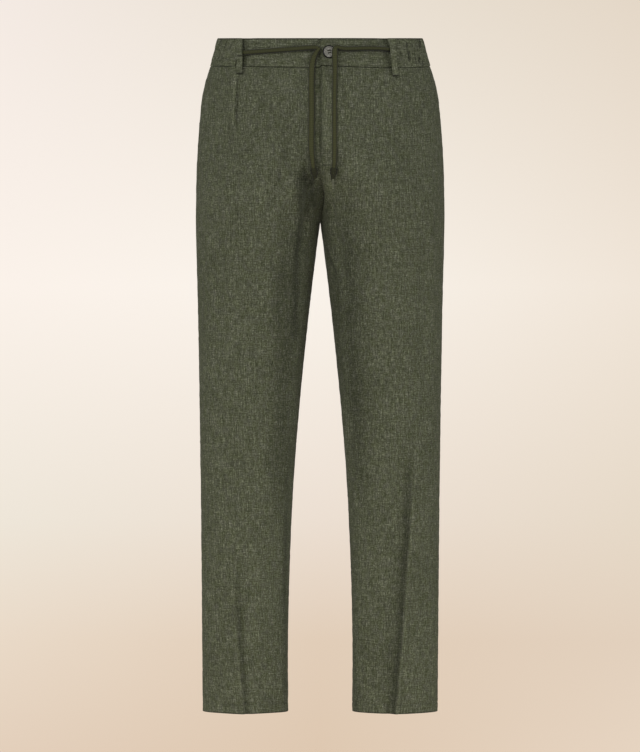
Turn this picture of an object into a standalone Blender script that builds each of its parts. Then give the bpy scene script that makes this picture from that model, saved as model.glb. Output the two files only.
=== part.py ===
"""Linen drawstring trousers, filled out as if worn and hollow.

Blender 4.5, metres, +Z up. The front faces -Y, and +X is the wearer's left. The origin is the
middle of the waist opening, half way up the waistband.

Four cloth panels hang from a waistband. Every row of a panel is an arc of an ellipse that
starts at the side seam. Above the crotch it ends on the centre seam, after a quarter turn.
Down the curve of the crotch seam the arc grows to a half turn, and on the leg it ends on the
inseam. Folds, the front pleat and the pressed crease are raised in that surface, and a wall
of cloth is hung behind it. What lies on a panel is made from the same surface, moved out.

The working tables are in millimetres.
"""

import math
from collections import namedtuple

import bpy
import numpy as np

MM = 0.001

# --- Driving dimensions, in millimetres -----------------------------------------------------
CLOTH = 1.6               # thickness of a single layer of cloth as built
BAND_THICKNESS = 3.0      # waistband: two layers and their turnings
HEM_THICKNESS = 2.8       # turned-up hem
SEAM_GAP = 0.3            # between two pieces that are sewn together
HALF_GAP = SEAM_GAP / 2

BAND_TOP = 22.0           # heights at the side seam, measured from the origin
BAND_BOTTOM = -21.0
WAIST_SEAM = BAND_BOTTOM - SEAM_GAP
FORK = -262.0             # where the four panels meet between the legs
HEM = -1017.0
HEM_FOLD = 14.0           # height of the turned-up hem
WAIST_TILT = 9.0          # the waist drops this far at the front and rises as far at the back
TILT_ENDS = -200.0        # below this height the rows are level
FRONT_CURVE_STARTS = -112.0
BACK_CURVE_STARTS = -76.0
CURVE_ARRIVES = 0.5       # how fast the crotch curve still turns where it reaches the fork

FLY_EDGE = 2.6            # the wearer's left front laps over the right one up to this x
FLY_BOTTOM = -184.0
FLY_LAP = 1.0             # how far the lapping edge stands out
LAP_FLAT = 45.0           # the lapping edge is flat to this x and sinks to nothing by LAP_ENDS
LAP_ENDS = 78.0
LAP_FADES_FROM = -178.0   # and it fades out below the fly, between these heights
LAP_FADES_TO = -214.0
UNDERLAP_FROM = -10.0     # x of the two long edges of the strip behind the fly
UNDERLAP_TO = 40.0
UNDERLAP_DEPTH = 2.8      # its outer face lies this far behind the panels' outer faces
UNDERLAP_THICKNESS = 1.6

BAND_OUT = 1.2            # the flat front of the waistband stands out this far from the panels
BAND_LAP_OUT = 2.6        # and so far along its lapping end
TONGUE_IN = -0.9          # outer face of the tongue that runs on behind the lapping end
TONGUE_END = 38.0
TONGUE_SINKS_FROM = -6.0  # x where the right end of the band starts to sink behind the left one
TONGUE_SINKS_TO = 0.5
BAND_EDGE_ROLL = 1.0      # the band's long edges roll back this far
LOOP_DIP = 3.0            # the band sinks this far under a loop that a cord runs through
LOOP_DIP_FLAT = 9.0       # to this distance from the loop, and no more by LOOP_DIP_ENDS
LOOP_DIP_ENDS = 26.0

CASING_OUT = 2.2          # crown of the gathered casing round the sides and back
CASING_EDGE = 0.6         # its edges
CASING_IN = 2.0           # its inner face lies this far behind the panels' outer faces
CASING_PAST_RIGHT = 1.6   # how far its ends run in under the two front loops
CASING_PAST_LEFT = 3.6
GATHER_COUNT = 54
GATHER_HEIGHT = 1.2
GATHER_AT_EDGE = 0.45     # share of that height left at the casing's long edges
GATHER_STEPS = 3          # columns of points for each gather
GATHER_DRIFT = 0.9        # the gathers crowd and spread by this much of a turn, at this rate
GATHER_DRIFT_RATE = 0.31
GATHER_SWELL = 0.35       # and some are higher than others
GATHER_SWELL_RATE = 0.47
GATHER_SWELL_START = 1.3
CALM_CROWN = 0.62         # share of the casing's crown left flat under a belt loop
CALM_FROM = 0.05          # it is flat to this angle from the loop, and gathered again by CALM_TO
CALM_TO = 0.13

LOOP_WIDTH = 10.0
LOOP_THICKNESS = 1.8
LOOP_CROWN = (0.0, 0.35, 0.45, 0.35, 0.0)   # rise of the loop's outer face across its width

BUTTON_DIAMETER = 20.0
BUTTON_THICKNESS = 2.8
BUTTON_X = 14.3
BUTTON_Z = -8.8
BUTTON_SIDES = 24
BUTTON_STAND = 0.8        # shank of thread between the waistband and the button
BUTTON_HOLE = 2.2
BUTTON_HOLE_SIDES = 8
BUTTON_HOLE_SPREAD = 2.5  # from the button's middle to each hole's
BUTTON_HOLE_TURN = math.radians(55)
BUTTON_LEAN = 0.057       # radians it turns with the band, to the wearer's left

CORD_DIAMETER = 7.0
CORD_STEP = 6.5           # distance between the points of a cord's tube
KNOT_RADIUS = 6.0
KNOT_SIDES = 14
KNOT_UNEVEN = 0.07        # share of its radius by which the knot is out of round
KNOT_TWIST = 0.8          # radians that this turns from one level of the knot to the next
KNOT_FLAT = 0.9           # depth of the knot to its width

# How finely the surfaces are divided.
ROWS_ABOVE_CURVE = 5
ROWS_DOWN_CURVE = 11
LEG_STEP_FIRST = 8.0
LEG_STEP_GROWS = 1.34
LEG_STEP_MOST = 46.0
HEM_STEP = 1.2            # half the height of the step from one layer of cloth to the hem
HEM_EDGE = 1.6
BAND_COLUMNS_STEP_FROM = 2.0    # closer columns between these, where the tongue sinks
BAND_COLUMNS_STEP_TO = -8.0
ROUTE_READS = 24          # points read between two stops of a cord's route
SHARP_ANGLE = math.radians(50)

# --- Tables, in millimetres ------------------------------------------------------------------
# One row for each level: the outer half width, and how deep the front and the back are.
Section = namedtuple("Section", "z outer front back")
SECTIONS = (
    Section(22.0, 156.0, 97.0, 101.0),
    Section(-21.0, 169.0, 101.5, 106.0),
    Section(-73.0, 181.6, 108.0, 118.0),
    Section(-135.0, 188.0, 112.0, 129.0),
    Section(-196.0, 190.7, 111.0, 132.0),
    Section(-243.0, 191.2, 105.0, 126.0),
    Section(-289.0, 190.9, 97.0, 113.0),
    Section(-381.0, 188.6, 88.0, 99.0),
    Section(-535.0, 185.6, 76.0, 86.0),
    Section(-689.0, 183.4, 64.0, 74.0),
    Section(-844.0, 182.0, 54.0, 62.0),
    Section(-1017.0, 180.7, 44.0, 52.0),
)

# Half of the gap between the legs.
Gap = namedtuple("Gap", "z half")
LEG_GAP = (
    Gap(FORK, HALF_GAP),
    Gap(-289.0, 4.1),
    Gap(-320.0, 8.1),
    Gap(-381.0, 15.5),
    Gap(-443.0, 22.4),
    Gap(-535.0, 31.5),
    Gap(-628.0, 39.1),
    Gap(-720.0, 44.4),
    Gap(-813.0, 47.8),
    Gap(-905.0, 49.6),
    Gap(-1017.0, 49.2),
)

# Where the centre front seam runs, to the wearer's left of the middle.
Centre = namedtuple("Centre", "z x")
CENTRE_FRONT = (
    Centre(22.0, FLY_EDGE),
    Centre(-150.0, FLY_EDGE),
    Centre(FLY_BOTTOM, FLY_EDGE),
    Centre(-215.0, 5.0),
    Centre(-242.0, 3.6),
    Centre(FORK, 0.0),
)

# The line of the pleat at the waist, which runs on as the pressed crease down the front.
Crease = namedtuple("Crease", "z x")
FRONT_CREASE = (
    Crease(22.0, 126.0),
    Crease(-21.0, 130.0),
    Crease(-135.0, 131.0),
    Crease(-262.0, 133.0),
    Crease(-381.0, 135.0),
    Crease(-535.0, 136.0),
    Crease(-720.0, 135.0),
    Crease(-796.0, 131.0),
    Crease(-896.0, 124.0),
    Crease(-1017.0, 115.5),
)

# Folds. A fold runs down a panel from z_top to z_end through three places x, is so wide on its
# outer and inner side, and stands out by height, or in where that is negative.
Fold = namedtuple("Fold", "panel z_top z_end x_top x_mid x_end outer inner height fade")
FOLDS = (
    Fold("front_right", -21.0, -176.0, 128.0, 130.5, 131.0, 26.0, 3.5, 2.6, 50.0),
    Fold("front_right", -70.0, -262.0, 39.0, 51.0, 76.0, 19.0, 15.0, -4.5, 70.0),
    Fold("front_right", -168.0, -375.0, 31.0, 35.0, 48.0, 16.0, 11.0, 4.0, 50.0),
    Fold("front_right", -190.0, -300.0, 15.0, 18.0, 26.0, 11.0, 12.0, -5.5, 36.0),
    Fold("front_right", -120.0, -560.0, 160.0, 158.0, 158.0, 20.0, 26.0, -3.0, 120.0),
    Fold("front_right", -760.0, -1017.0, 131.0, 124.0, 115.5, 16.0, 5.0, 2.2, 70.0),
    Fold("front_left", -21.0, -170.0, 120.0, 125.0, 127.0, 24.0, 4.5, 1.8, 55.0),
    Fold("front_left", -42.0, -215.0, 80.0, 84.0, 88.0, 15.0, 13.0, -3.2, 60.0),
    Fold("front_left", -110.0, -215.0, 121.0, 123.0, 124.0, 12.0, 10.0, -2.4, 45.0),
    Fold("front_left", -200.0, -330.0, 14.0, 22.0, 40.0, 12.0, 12.0, -4.0, 50.0),
    Fold("front_left", -262.0, -400.0, 22.0, 34.0, 58.0, 12.0, 14.0, -3.0, 50.0),
    Fold("front_left", -160.0, -600.0, 160.0, 159.0, 158.0, 18.0, 24.0, -2.4, 130.0),
    Fold("front_left", -640.0, -1017.0, 139.0, 128.0, 117.5, 5.0, 17.0, 3.4, 90.0),
    Fold("front_left", -660.0, -1017.0, 126.0, 113.0, 105.0, 9.0, 16.0, -2.6, 90.0),
    Fold("back_right", -60.0, -250.0, 60.0, 80.0, 118.0, 22.0, 18.0, -3.5, 70.0),
    Fold("back_right", -215.0, -330.0, 30.0, 60.0, 110.0, 20.0, 24.0, -5.0, 45.0),
    Fold("back_right", -262.0, -420.0, 22.0, 38.0, 66.0, 16.0, 14.0, -3.2, 60.0),
    Fold("back_right", -360.0, -1017.0, 118.0, 116.0, 115.0, 12.0, 12.0, 2.0, 120.0),
    Fold("back_left", -48.0, -230.0, 72.0, 90.0, 122.0, 20.0, 20.0, -3.0, 70.0),
    Fold("back_left", -222.0, -318.0, 24.0, 66.0, 124.0, 22.0, 22.0, -4.6, 40.0),
    Fold("back_left", -275.0, -450.0, 24.0, 44.0, 72.0, 15.0, 16.0, -3.6, 60.0),
    Fold("back_left", -390.0, -1017.0, 117.0, 117.0, 115.0, 12.0, 12.0, 2.2, 120.0),
)
FOLDS_CLEAR_SEAM = 16.0   # folds die out this far from a seam

# Belt loops: the x of the top and of the bottom, the bottom's height, and whether it is on the
# front (1) or back (-1).
Loop = namedtuple("Loop", "name x_top x_bottom bottom face cord")
LOOPS = (
    Loop("belt_loop_front_right", -122.5, -122.5, -33.0, 1, True),
    Loop("belt_loop_front_left", 110.5, 116.0, -36.2, 1, True),
    Loop("belt_loop_back_right", -88.0, -90.0, -31.0, -1, False),
    Loop("belt_loop_back_centre", 0.0, 0.0, -31.0, -1, False),
    Loop("belt_loop_back_left", 88.0, 90.0, -31.0, -1, False),
)
# Height up the band, and how far the loop's inner face stands off the panels' outer faces,
# where a cord runs under the loop and where none does. The last row is at the loop's bottom.
Arch = namedtuple("Arch", "z over_cord plain")
LOOP_ARCH = (
    Arch(BAND_TOP - 0.4, 2.6, 2.6),
    Arch(17.0, 4.4, 4.2),
    Arch(8.5, 6.6, 4.8),
    Arch(1.0, 7.0, 5.0),
    Arch(-7.0, 6.2, 4.8),
    Arch(-15.0, 4.4, 4.2),
    Arch(-20.5, 3.6, 3.0),
    Arch(-25.0, 3.2, 1.2),
    Arch(-31.0, 3.0, 0.5),
)

# The drawstring: x, height, and how far the cord's middle stands off the panels' outer faces.
# One end turns back down before the button, and the other one turns down over its rim.
Route = namedtuple("Route", "x z off")
CORD_FROM_RIGHT = (
    Route(-122.4, -5.6, 2.3),
    Route(-112.0, -5.7, 3.0),
    Route(-98.0, -5.7, 5.2),
    Route(-75.0, -5.1, 5.5),
    Route(-50.0, -4.1, 5.9),
    Route(-30.0, -2.9, 6.3),
    Route(-16.0, -1.9, 6.8),
    Route(-8.0, -1.6, 7.6),
    Route(-3.0, -2.2, 8.0),
    Route(-0.8, -5.2, 7.6),
    Route(-2.8, -8.8, 6.8),
    Route(-6.2, -12.4, 5.8),
    Route(-8.8, -17.0, 5.2),
    Route(-10.5, -23.5, 5.1),
    Route(-11.6, -34.0, 5.2),
    Route(-12.2, -60.0, 4.6),
    Route(-12.4, -95.0, 4.4),
    Route(-12.8, -130.0, 4.6),
    Route(-12.4, -158.0, 5.8),
    Route(-11.3, -174.0, 6.5),
    Route(-11.0, -184.0, 6.9),
)
CORD_FROM_LEFT = (
    Route(112.2, -3.0, 2.3),
    Route(101.0, -2.3, 3.0),
    Route(87.0, -1.7, 5.2),
    Route(68.0, -2.0, 5.6),
    Route(48.0, -3.3, 6.0),
    Route(37.0, -4.0, 7.2),
    Route(30.5, -3.8, 9.2),
    Route(25.8, -3.1, 10.4),
    Route(22.7, -5.2, 10.7),
    Route(21.9, -9.4, 10.7),
    Route(22.1, -15.0, 10.6),
    Route(22.4, -22.0, 9.6),
    Route(22.6, -34.0, 7.4),
    Route(22.4, -54.0, 6.0),
    Route(22.1, -80.0, 5.4),
    Route(22.0, -110.0, 5.2),
    Route(22.4, -138.0, 5.2),
    Route(22.8, -160.0, 6.4),
    Route(23.0, -174.0, 7.2),
    Route(23.0, -184.0, 7.6),
)
# A knot in a cord's end: the radius as a share of KNOT_RADIUS, and the depth below its top.
Bulge = namedtuple("Bulge", "depth radius")
KNOT_PROFILE = (
    Bulge(0.0, 0.62),
    Bulge(1.2, 0.9),
    Bulge(3.4, 1.0),
    Bulge(5.6, 0.9),
    Bulge(6.6, 0.82),
    Bulge(8.0, 0.94),
    Bulge(10.0, 0.9),
    Bulge(11.6, 0.68),
    Bulge(13.0, 0.6),
    Bulge(17.4, 0.56),
)
KNOT_CUT_SLOPE = 0.55     # the tail is cut on a slant

# The button's outline, turned about its middle: inset from the rim, and height from its back.
Turned = namedtuple("Turned", "inset height")
BUTTON_PROFILE = (
    Turned(2.0, 0.0),
    Turned(0.5, 0.6),
    Turned(0.0, 1.4),
    Turned(0.3, 2.3),
    Turned(1.2, BUTTON_THICKNESS),
    Turned(2.4, 2.5),
    Turned(3.6, 1.9),
)
BUTTON_DISH = 1.8         # height of its sunk middle

# Rows up the waistband: height, and the share of the full thickness outwards there.
BandRow = namedtuple("BandRow", "z crown")
BAND_ROWS = (
    BandRow(BAND_BOTTOM, 0.0),
    BandRow(BAND_BOTTOM + 3.0, 0.75),
    BandRow(BAND_BOTTOM + 13.0, 1.0),
    BandRow(BAND_TOP - 12.0, 1.0),
    BandRow(BAND_TOP - 2.5, 0.85),
    BandRow(BAND_TOP, 0.1),
)
BAND_MIDDLE = (BAND_TOP + BAND_BOTTOM) / 2

# Places across a panel, from the side seam (0) by the crease line (1) to the centre seam (2).
FRONT_COLUMNS = (0.0, 0.2, 0.4, 0.58, 0.74, 0.87, 0.965, 1.0, 1.022, 1.06, 1.14, 1.25, 1.37, 1.5,
                 1.63, 1.76, 1.88, 2.0)
BACK_COLUMNS = (0.0, 0.2, 0.4, 0.6, 0.78, 0.92, 1.0, 1.08, 1.22, 1.4, 1.58, 1.75, 1.88, 2.0)

# Colours: base colour, roughness and metallic value of each material.
Finish = namedtuple("Finish", "colour roughness metallic")
FINISHES = {
    "linen": Finish((0.085, 0.091, 0.056), 0.92, 0.0),
    "linen_band": Finish((0.078, 0.083, 0.051), 0.92, 0.0),
    "cord": Finish((0.044, 0.046, 0.022), 0.85, 0.0),
    "button": Finish((0.16, 0.155, 0.14), 0.35, 0.0),
}


# --- Reading the tables ----------------------------------------------------------------------
def read(table, column, z):
    """The table's column at the heights z, on a smooth curve through its rows."""
    rows = sorted(table, key=lambda row: row.z)
    heights = np.array([row.z for row in rows])
    values = np.array([getattr(row, column) for row in rows])
    slopes = np.gradient(values, heights)
    z = np.clip(np.asarray(z, float), heights[0], heights[-1])
    index = np.clip(np.searchsorted(heights, z) - 1, 0, len(rows) - 2)
    span = heights[index + 1] - heights[index]
    t = (z - heights[index]) / span
    start = (1 + 2 * t) * (1 - t) ** 2 * values[index] + t * (1 - t) ** 2 * span * slopes[index]
    end = t * t * (3 - 2 * t) * values[index + 1] - t * t * (1 - t) * span * slopes[index + 1]
    return start + end


def ramp(value, start, end):
    """0 before start and 1 after end, with a soft turn at both."""
    t = np.clip((np.asarray(value, float) - start) / (end - start), 0.0, 1.0)
    return t * t * (3 - 2 * t)


def tilt(z):
    return WAIST_TILT * ramp(z, TILT_ENDS, BAND_BOTTOM)


def turn(z, starts):
    """How far round a row goes at height z: a quarter above the crotch curve, a half below."""
    share = np.clip((starts - np.asarray(z, float)) / (starts - FORK), 0.0, 1.0)
    eased = share**2 * (3 - 2 * share) - CURVE_ARRIVES * share**2 * (1 - share)
    return np.arccos(-eased)


def inner_edge(z, side, face):
    """The x of a panel's centre seam or inseam, counted away from the middle."""
    gap = np.where(z > FORK, HALF_GAP, read(LEG_GAP, "half", z))
    if face > 0:
        gap = gap + side * np.where(z > FORK, read(CENTRE_FRONT, "x", z), 0.0)
    return gap


class Rows:
    """The arcs of one panel, for an array of heights. side is 1 on the wearer's left."""

    def __init__(self, side, face, z):
        self.side = side
        self.face = face
        self.z = np.asarray(z, float)
        self.turn = turn(self.z, FRONT_CURVE_STARTS if face > 0 else BACK_CURVE_STARTS)
        outer = read(SECTIONS, "outer", self.z)
        self.radius = (outer - inner_edge(self.z, side, face)) / (1 - np.cos(self.turn))
        self.middle = outer - self.radius
        self.depth = read(SECTIONS, "front" if face > 0 else "back", self.z)

    def angle_at(self, x):
        """The angle round the arc, from the side seam, where it crosses x."""
        return np.arccos(np.clip((x - self.middle) / self.radius, -1.0, 1.0))

    def arc(self, angle):
        """The radius that turns an angle near this one into a distance along the cloth."""
        return np.hypot(self.radius * np.sin(angle), self.depth * np.cos(angle))


# --- The surface of a panel ------------------------------------------------------------------
def fold_height(rows, angle, panel):
    """How far the folds move the panel's surface out, at each row and angle."""
    total = np.zeros_like(angle)
    for fold in FOLDS:
        if fold.panel != panel:
            continue
        t = np.clip((fold.z_top - rows.z) / (fold.z_top - fold.z_end), 0.0, 1.0)
        x = (1 - t) * (1 - 2 * t) * fold.x_top
        x = x + 4 * t * (1 - t) * fold.x_mid
        x = x + t * (2 * t - 1) * fold.x_end
        line = rows.angle_at(x)
        away = (angle - line[:, None]) * rows.arc(line)[:, None]
        reach = np.where(away < 0, fold.outer, fold.inner)
        profile = np.cos(np.clip(away / reach, -1.0, 1.0) * math.pi / 2) ** 2
        length = ramp(rows.z, fold.z_end, fold.z_end + fold.fade)
        if fold.z_end <= HEM:
            length = np.ones_like(rows.z)
        length = length * (1 - ramp(rows.z, fold.z_top - fold.fade, fold.z_top))
        if fold.z_top >= BAND_BOTTOM:
            length = ramp(rows.z, fold.z_end, fold.z_end + fold.fade)
        total += fold.height * profile * length[:, None]
    from_side = angle * rows.depth[:, None]
    from_end = (rows.turn[:, None] - angle) * rows.depth[:, None]
    return total * ramp(np.minimum(from_side, from_end), 0.0, FOLDS_CLEAR_SEAM)


def lap_height(rows, x, panel):
    """The wearer's left front stands out along the fly, where it laps over the right one."""
    if panel != "front_left":
        return np.zeros_like(x)
    along = ramp(rows.z, LAP_FADES_TO, LAP_FADES_FROM)
    return FLY_LAP * (1 - ramp(x, LAP_FLAT, LAP_ENDS)) * along[:, None]


def place(rows, angle, out):
    """Points of a panel at each row and angle, moved out from its surface."""
    cos = np.cos(angle)
    sin = np.sin(angle)
    radius = rows.radius[:, None]
    depth = rows.depth[:, None]
    x = rows.middle[:, None] + radius * cos
    y = -rows.face * depth * sin
    normal_x = cos / radius
    normal_y = -rows.face * sin / depth
    size = np.hypot(normal_x, normal_y)
    height = rows.z[:, None] - rows.face * tilt(rows.z)[:, None] * sin
    points = np.stack([x + out * normal_x / size, y + out * normal_y / size, height], axis=-1)
    points[..., 0] *= rows.side
    return points


def outward_normals(points, rows, columns):
    """Unit normals that keep a panel's edges in the planes of its seams."""
    up = np.gradient(points, rows.z, axis=0, edge_order=2)
    across = np.gradient(points, columns, axis=1, edge_order=2)
    normals = np.cross(up, across) * rows.side * rows.face
    above = rows.z > FORK + HALF_GAP
    towards_middle = np.minimum(normals[:, -1, 0] * rows.side, 0.0) * rows.side
    normals[:, -1, 0] = np.where(above, towards_middle, normals[:, -1, 0])
    normals[:, -1, 1] = np.where(above, normals[:, -1, 1], 0.0)
    normals[:, 0, 1] = 0.0
    normals[[0, -1], :, 2] = 0.0
    return normals / np.linalg.norm(normals, axis=-1, keepdims=True)


def surface_point(x, z, out, face=1):
    """The point at (x, z) on the front or back above the crotch, moved out from the panels."""
    seam = float(read(CENTRE_FRONT, "x", z)) if face > 0 else 0.0
    side = 1 if x >= seam else -1
    height = z
    for _ in range(12):
        rows = Rows(side, face, [height])
        angle = rows.angle_at(side * x)
        height = z + face * tilt(height) * float(np.sin(angle[0]))
    return place(rows, angle[:, None], np.array([[out]]))[0, 0]


# --- Making meshes ---------------------------------------------------------------------------
def finish(name, points, faces, finish_name):
    """An object from points in millimetres, with its faces turned outwards and smooth."""
    points = np.asarray(points, float) * MM
    mesh = bpy.data.meshes.new(name)
    mesh.from_pydata(points.tolist(), [], faces)
    mesh.validate()
    mesh.calc_loop_triangles()
    volume = 0.0
    for triangle in mesh.loop_triangles:
        a, b, c = (points[index] for index in triangle.vertices)
        volume += float(np.dot(a, np.cross(b, c)))
    if volume < 0:
        mesh.flip_normals()
    mesh.shade_smooth()
    mesh.set_sharp_from_angle(angle=SHARP_ANGLE)
    mesh.materials.append(material(finish_name))
    obj = bpy.data.objects.new(name, mesh)
    bpy.context.scene.collection.objects.link(obj)
    return obj


def material(finish_name):
    if finish_name in bpy.data.materials:
        return bpy.data.materials[finish_name]
    values = FINISHES[finish_name]
    made = bpy.data.materials.new(finish_name)
    made.use_nodes = True
    shader = made.node_tree.nodes["Principled BSDF"]
    shader.inputs["Base Color"].default_value = (*values.colour, 1.0)
    shader.inputs["Roughness"].default_value = values.roughness
    shader.inputs["Metallic"].default_value = values.metallic
    made.diffuse_color = (*values.colour, 1.0)
    return made


def wall(outer, inner):
    """Points and faces of a closed sheet between two grids of the same shape."""
    count_down, count_across = outer.shape[:2]
    points = np.concatenate([outer.reshape(-1, 3), inner.reshape(-1, 3)])
    behind = count_down * count_across
    faces = []
    for down in range(count_down - 1):
        for across in range(count_across - 1):
            a = down * count_across + across
            quad = (a, a + 1, a + 1 + count_across, a + count_across)
            faces.append(quad)
            faces.append(tuple(index + behind for index in reversed(quad)))
    rim = list(range(count_across))
    rim += [down * count_across + count_across - 1 for down in range(1, count_down)]
    rim += [(count_down - 1) * count_across + across for across in reversed(range(count_across - 1))]
    rim += [down * count_across for down in reversed(range(1, count_down - 1))]
    for here, following in zip(rim, rim[1:] + rim[:1]):
        faces.append((following, here, here + behind, following + behind))
    return points, faces


# --- Panels ----------------------------------------------------------------------------------
def row_heights():
    """Rows from the waist seam to the hem, closer together where the crotch seam curves."""
    heights = list(np.linspace(WAIST_SEAM, FRONT_CURVE_STARTS, ROWS_ABOVE_CURVE))
    curve = np.linspace(math.pi / 2, math.pi, ROWS_DOWN_CURVE + 1)[1:]
    heights += list(FRONT_CURVE_STARTS + (FRONT_CURVE_STARTS - FORK) * np.cos(curve))
    hem_top = HEM + HEM_FOLD
    step = LEG_STEP_FIRST
    while heights[-1] - step > hem_top + LEG_STEP_MOST / 2:
        heights.append(heights[-1] - step)
        step = min(step * LEG_STEP_GROWS, LEG_STEP_MOST)
    heights += [hem_top + HEM_STEP, hem_top - HEM_STEP, HEM + HEM_EDGE, HEM]
    return np.array(heights)


def panel_angles(rows, columns):
    """The angle of every point, with column 1 on the crease line."""
    if rows.face > 0:
        crease = rows.angle_at(read(FRONT_CREASE, "x", rows.z))
    else:
        crease = rows.turn / 2
    trim_side = HALF_GAP / rows.depth
    trim_end = np.where(rows.z > FORK + HALF_GAP, 0.0, HALF_GAP / rows.depth)
    last = rows.turn - trim_end
    outer = trim_side[:, None] + (crease - trim_side)[:, None] * np.minimum(columns, 1.0)
    inner = (last - crease)[:, None] * np.maximum(np.asarray(columns) - 1.0, 0.0)
    return outer + inner


def panel_outer(side, face, name, heights, columns):
    rows = Rows(side, face, heights)
    angle = panel_angles(rows, columns)
    x = rows.middle[:, None] + rows.radius[:, None] * np.cos(angle)
    out = fold_height(rows, angle, name) + lap_height(rows, x, name)
    return rows, place(rows, angle, out)


def make_panel(name, side, face):
    columns = FRONT_COLUMNS if face > 0 else BACK_COLUMNS
    heights = row_heights()
    rows, outer = panel_outer(side, face, name, heights, columns)
    thickness = np.where(heights < HEM + HEM_FOLD, HEM_THICKNESS, CLOTH)
    inner = outer - outward_normals(outer, rows, columns) * thickness[:, None, None]
    points, faces = wall(outer, inner)
    return finish(name, points, faces, "linen")


# --- Waistband -------------------------------------------------------------------------------
def band_point(angle, z, out):
    """A point on the waist at an angle from the wearer's left side, by the front."""
    face = 1 if math.sin(angle) >= 0 else -1
    a = float(read(SECTIONS, "outer", z))
    b = float(read(SECTIONS, "front" if face > 0 else "back", z))
    normal = np.array([math.cos(angle) / a, -math.sin(angle) / b])
    normal /= np.linalg.norm(normal)
    height = z - float(tilt(z)) * math.sin(angle)
    return (
        a * math.cos(angle) + out * normal[0],
        -b * math.sin(angle) + out * normal[1],
        height,
    )


def band_angle(x, z, face=1):
    """The angle at which the waist at height z passes x."""
    return face * math.acos(max(-1.0, min(1.0, x / float(read(SECTIONS, "outer", z)))))


def band_strip(name, angles, outer_face, inner_face):
    """A strip of the waistband. The two functions give its faces at an angle and a row."""
    points = []
    for angle in angles:
        ring = [band_point(angle, row.z, outer_face(angle, row)) for row in BAND_ROWS]
        for row in (BAND_ROWS[-1], BAND_ROWS[0]):
            ring.append(band_point(angle, row.z, inner_face(angle)))
        points.extend(ring)
    size = len(BAND_ROWS) + 2
    faces = []
    for index in range(len(angles) - 1):
        for step in range(size):
            a = index * size + step
            b = index * size + (step + 1) % size
            faces.append((a, b, b + size, a + size))
    faces.append(tuple(reversed(range(size))))
    faces.append(tuple(range(len(points) - size, len(points))))
    return finish(name, np.array(points), faces, "linen_band")


def dip_at_loop(x):
    """The flat band sinks where a cord lies between it and a belt loop."""
    near = min(abs(x - loop.x_top) for loop in LOOPS if loop.cord)
    return -LOOP_DIP * (1 - float(ramp(near, LOOP_DIP_FLAT, LOOP_DIP_ENDS)))


def edge_drop(row):
    """The band's two long edges are rolled back from its face."""
    return -BAND_EDGE_ROLL * (1 - row.crown)


def right_band_out(angle, row):
    x = math.cos(angle) * float(read(SECTIONS, "outer", BAND_MIDDLE))
    sunk = float(ramp(x, TONGUE_SINKS_FROM, TONGUE_SINKS_TO))
    return BAND_OUT * (1 - sunk) + TONGUE_IN * sunk + dip_at_loop(x) + edge_drop(row)


def left_band_out(angle, row):
    x = math.cos(angle) * float(read(SECTIONS, "outer", BAND_MIDDLE))
    lap = 1 - float(ramp(x, LAP_FLAT, LAP_ENDS))
    return BAND_OUT + (BAND_LAP_OUT - BAND_OUT) * lap + dip_at_loop(x) + edge_drop(row)


def casing_ends():
    """The angles where the gathered casing starts and ends, under the two front loops."""
    right = band_angle(LOOPS[0].x_top - CASING_PAST_RIGHT, BAND_MIDDLE)
    left = band_angle(LOOPS[1].x_top + CASING_PAST_LEFT, BAND_MIDDLE)
    return right, left + 2 * math.pi


def near_loop(angle):
    """0 under a belt loop and 1 away from it."""
    share = 1.0
    for loop in LOOPS:
        here = band_angle(loop.x_top, BAND_MIDDLE, loop.face) % (2 * math.pi)
        away = abs((angle - here + math.pi) % (2 * math.pi) - math.pi)
        share = min(share, float(ramp(away, CALM_FROM, CALM_TO)))
    return share


def casing_out(angle, row):
    """The outer face of the gathered casing."""
    start, end = casing_ends()
    along = (angle - start) / (end - start)
    phase = 2 * math.pi * GATHER_COUNT * along
    wave = math.sin(phase + GATHER_DRIFT * math.sin(GATHER_DRIFT_RATE * phase))
    wave += GATHER_SWELL * math.sin(GATHER_SWELL_RATE * phase + GATHER_SWELL_START)
    wave *= GATHER_AT_EDGE + (1 - GATHER_AT_EDGE) * row.crown
    crown = CASING_EDGE + (CASING_OUT - CASING_EDGE) * row.crown
    calm = near_loop(angle)
    return crown * (CALM_CROWN + (1 - CALM_CROWN) * calm) + GATHER_HEIGHT * wave * calm


def make_waistband():
    right_end, left_end = casing_ends()
    gap = SEAM_GAP / float(read(SECTIONS, "front", BAND_MIDDLE))
    tongue = band_angle(TONGUE_END, BAND_MIDDLE)
    step_from = band_angle(BAND_COLUMNS_STEP_FROM, BAND_MIDDLE)
    step_to = band_angle(BAND_COLUMNS_STEP_TO, BAND_MIDDLE)
    lap = band_angle(FLY_EDGE + SEAM_GAP, BAND_MIDDLE)
    right_angles = np.concatenate([
        np.linspace(tongue, step_from, 5)[:-1],
        np.linspace(step_from, step_to, 6)[:-1],
        np.linspace(step_to, right_end - gap, 16),
    ])
    crown = BAND_ROWS[2]
    band_strip(
        "waistband_front_right", right_angles, right_band_out,
        lambda angle: right_band_out(angle, crown) - BAND_THICKNESS,
    )
    left_angles = np.linspace(left_end - 2 * math.pi + gap, lap, 20)
    band_strip(
        "waistband_front_left", left_angles, left_band_out,
        lambda angle: left_band_out(angle, crown) - BAND_THICKNESS,
    )
    casing_angles = np.linspace(right_end, left_end, GATHER_COUNT * GATHER_STEPS + 1)
    band_strip("waistband_back", casing_angles, casing_out, lambda angle: -CASING_IN)


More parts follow.
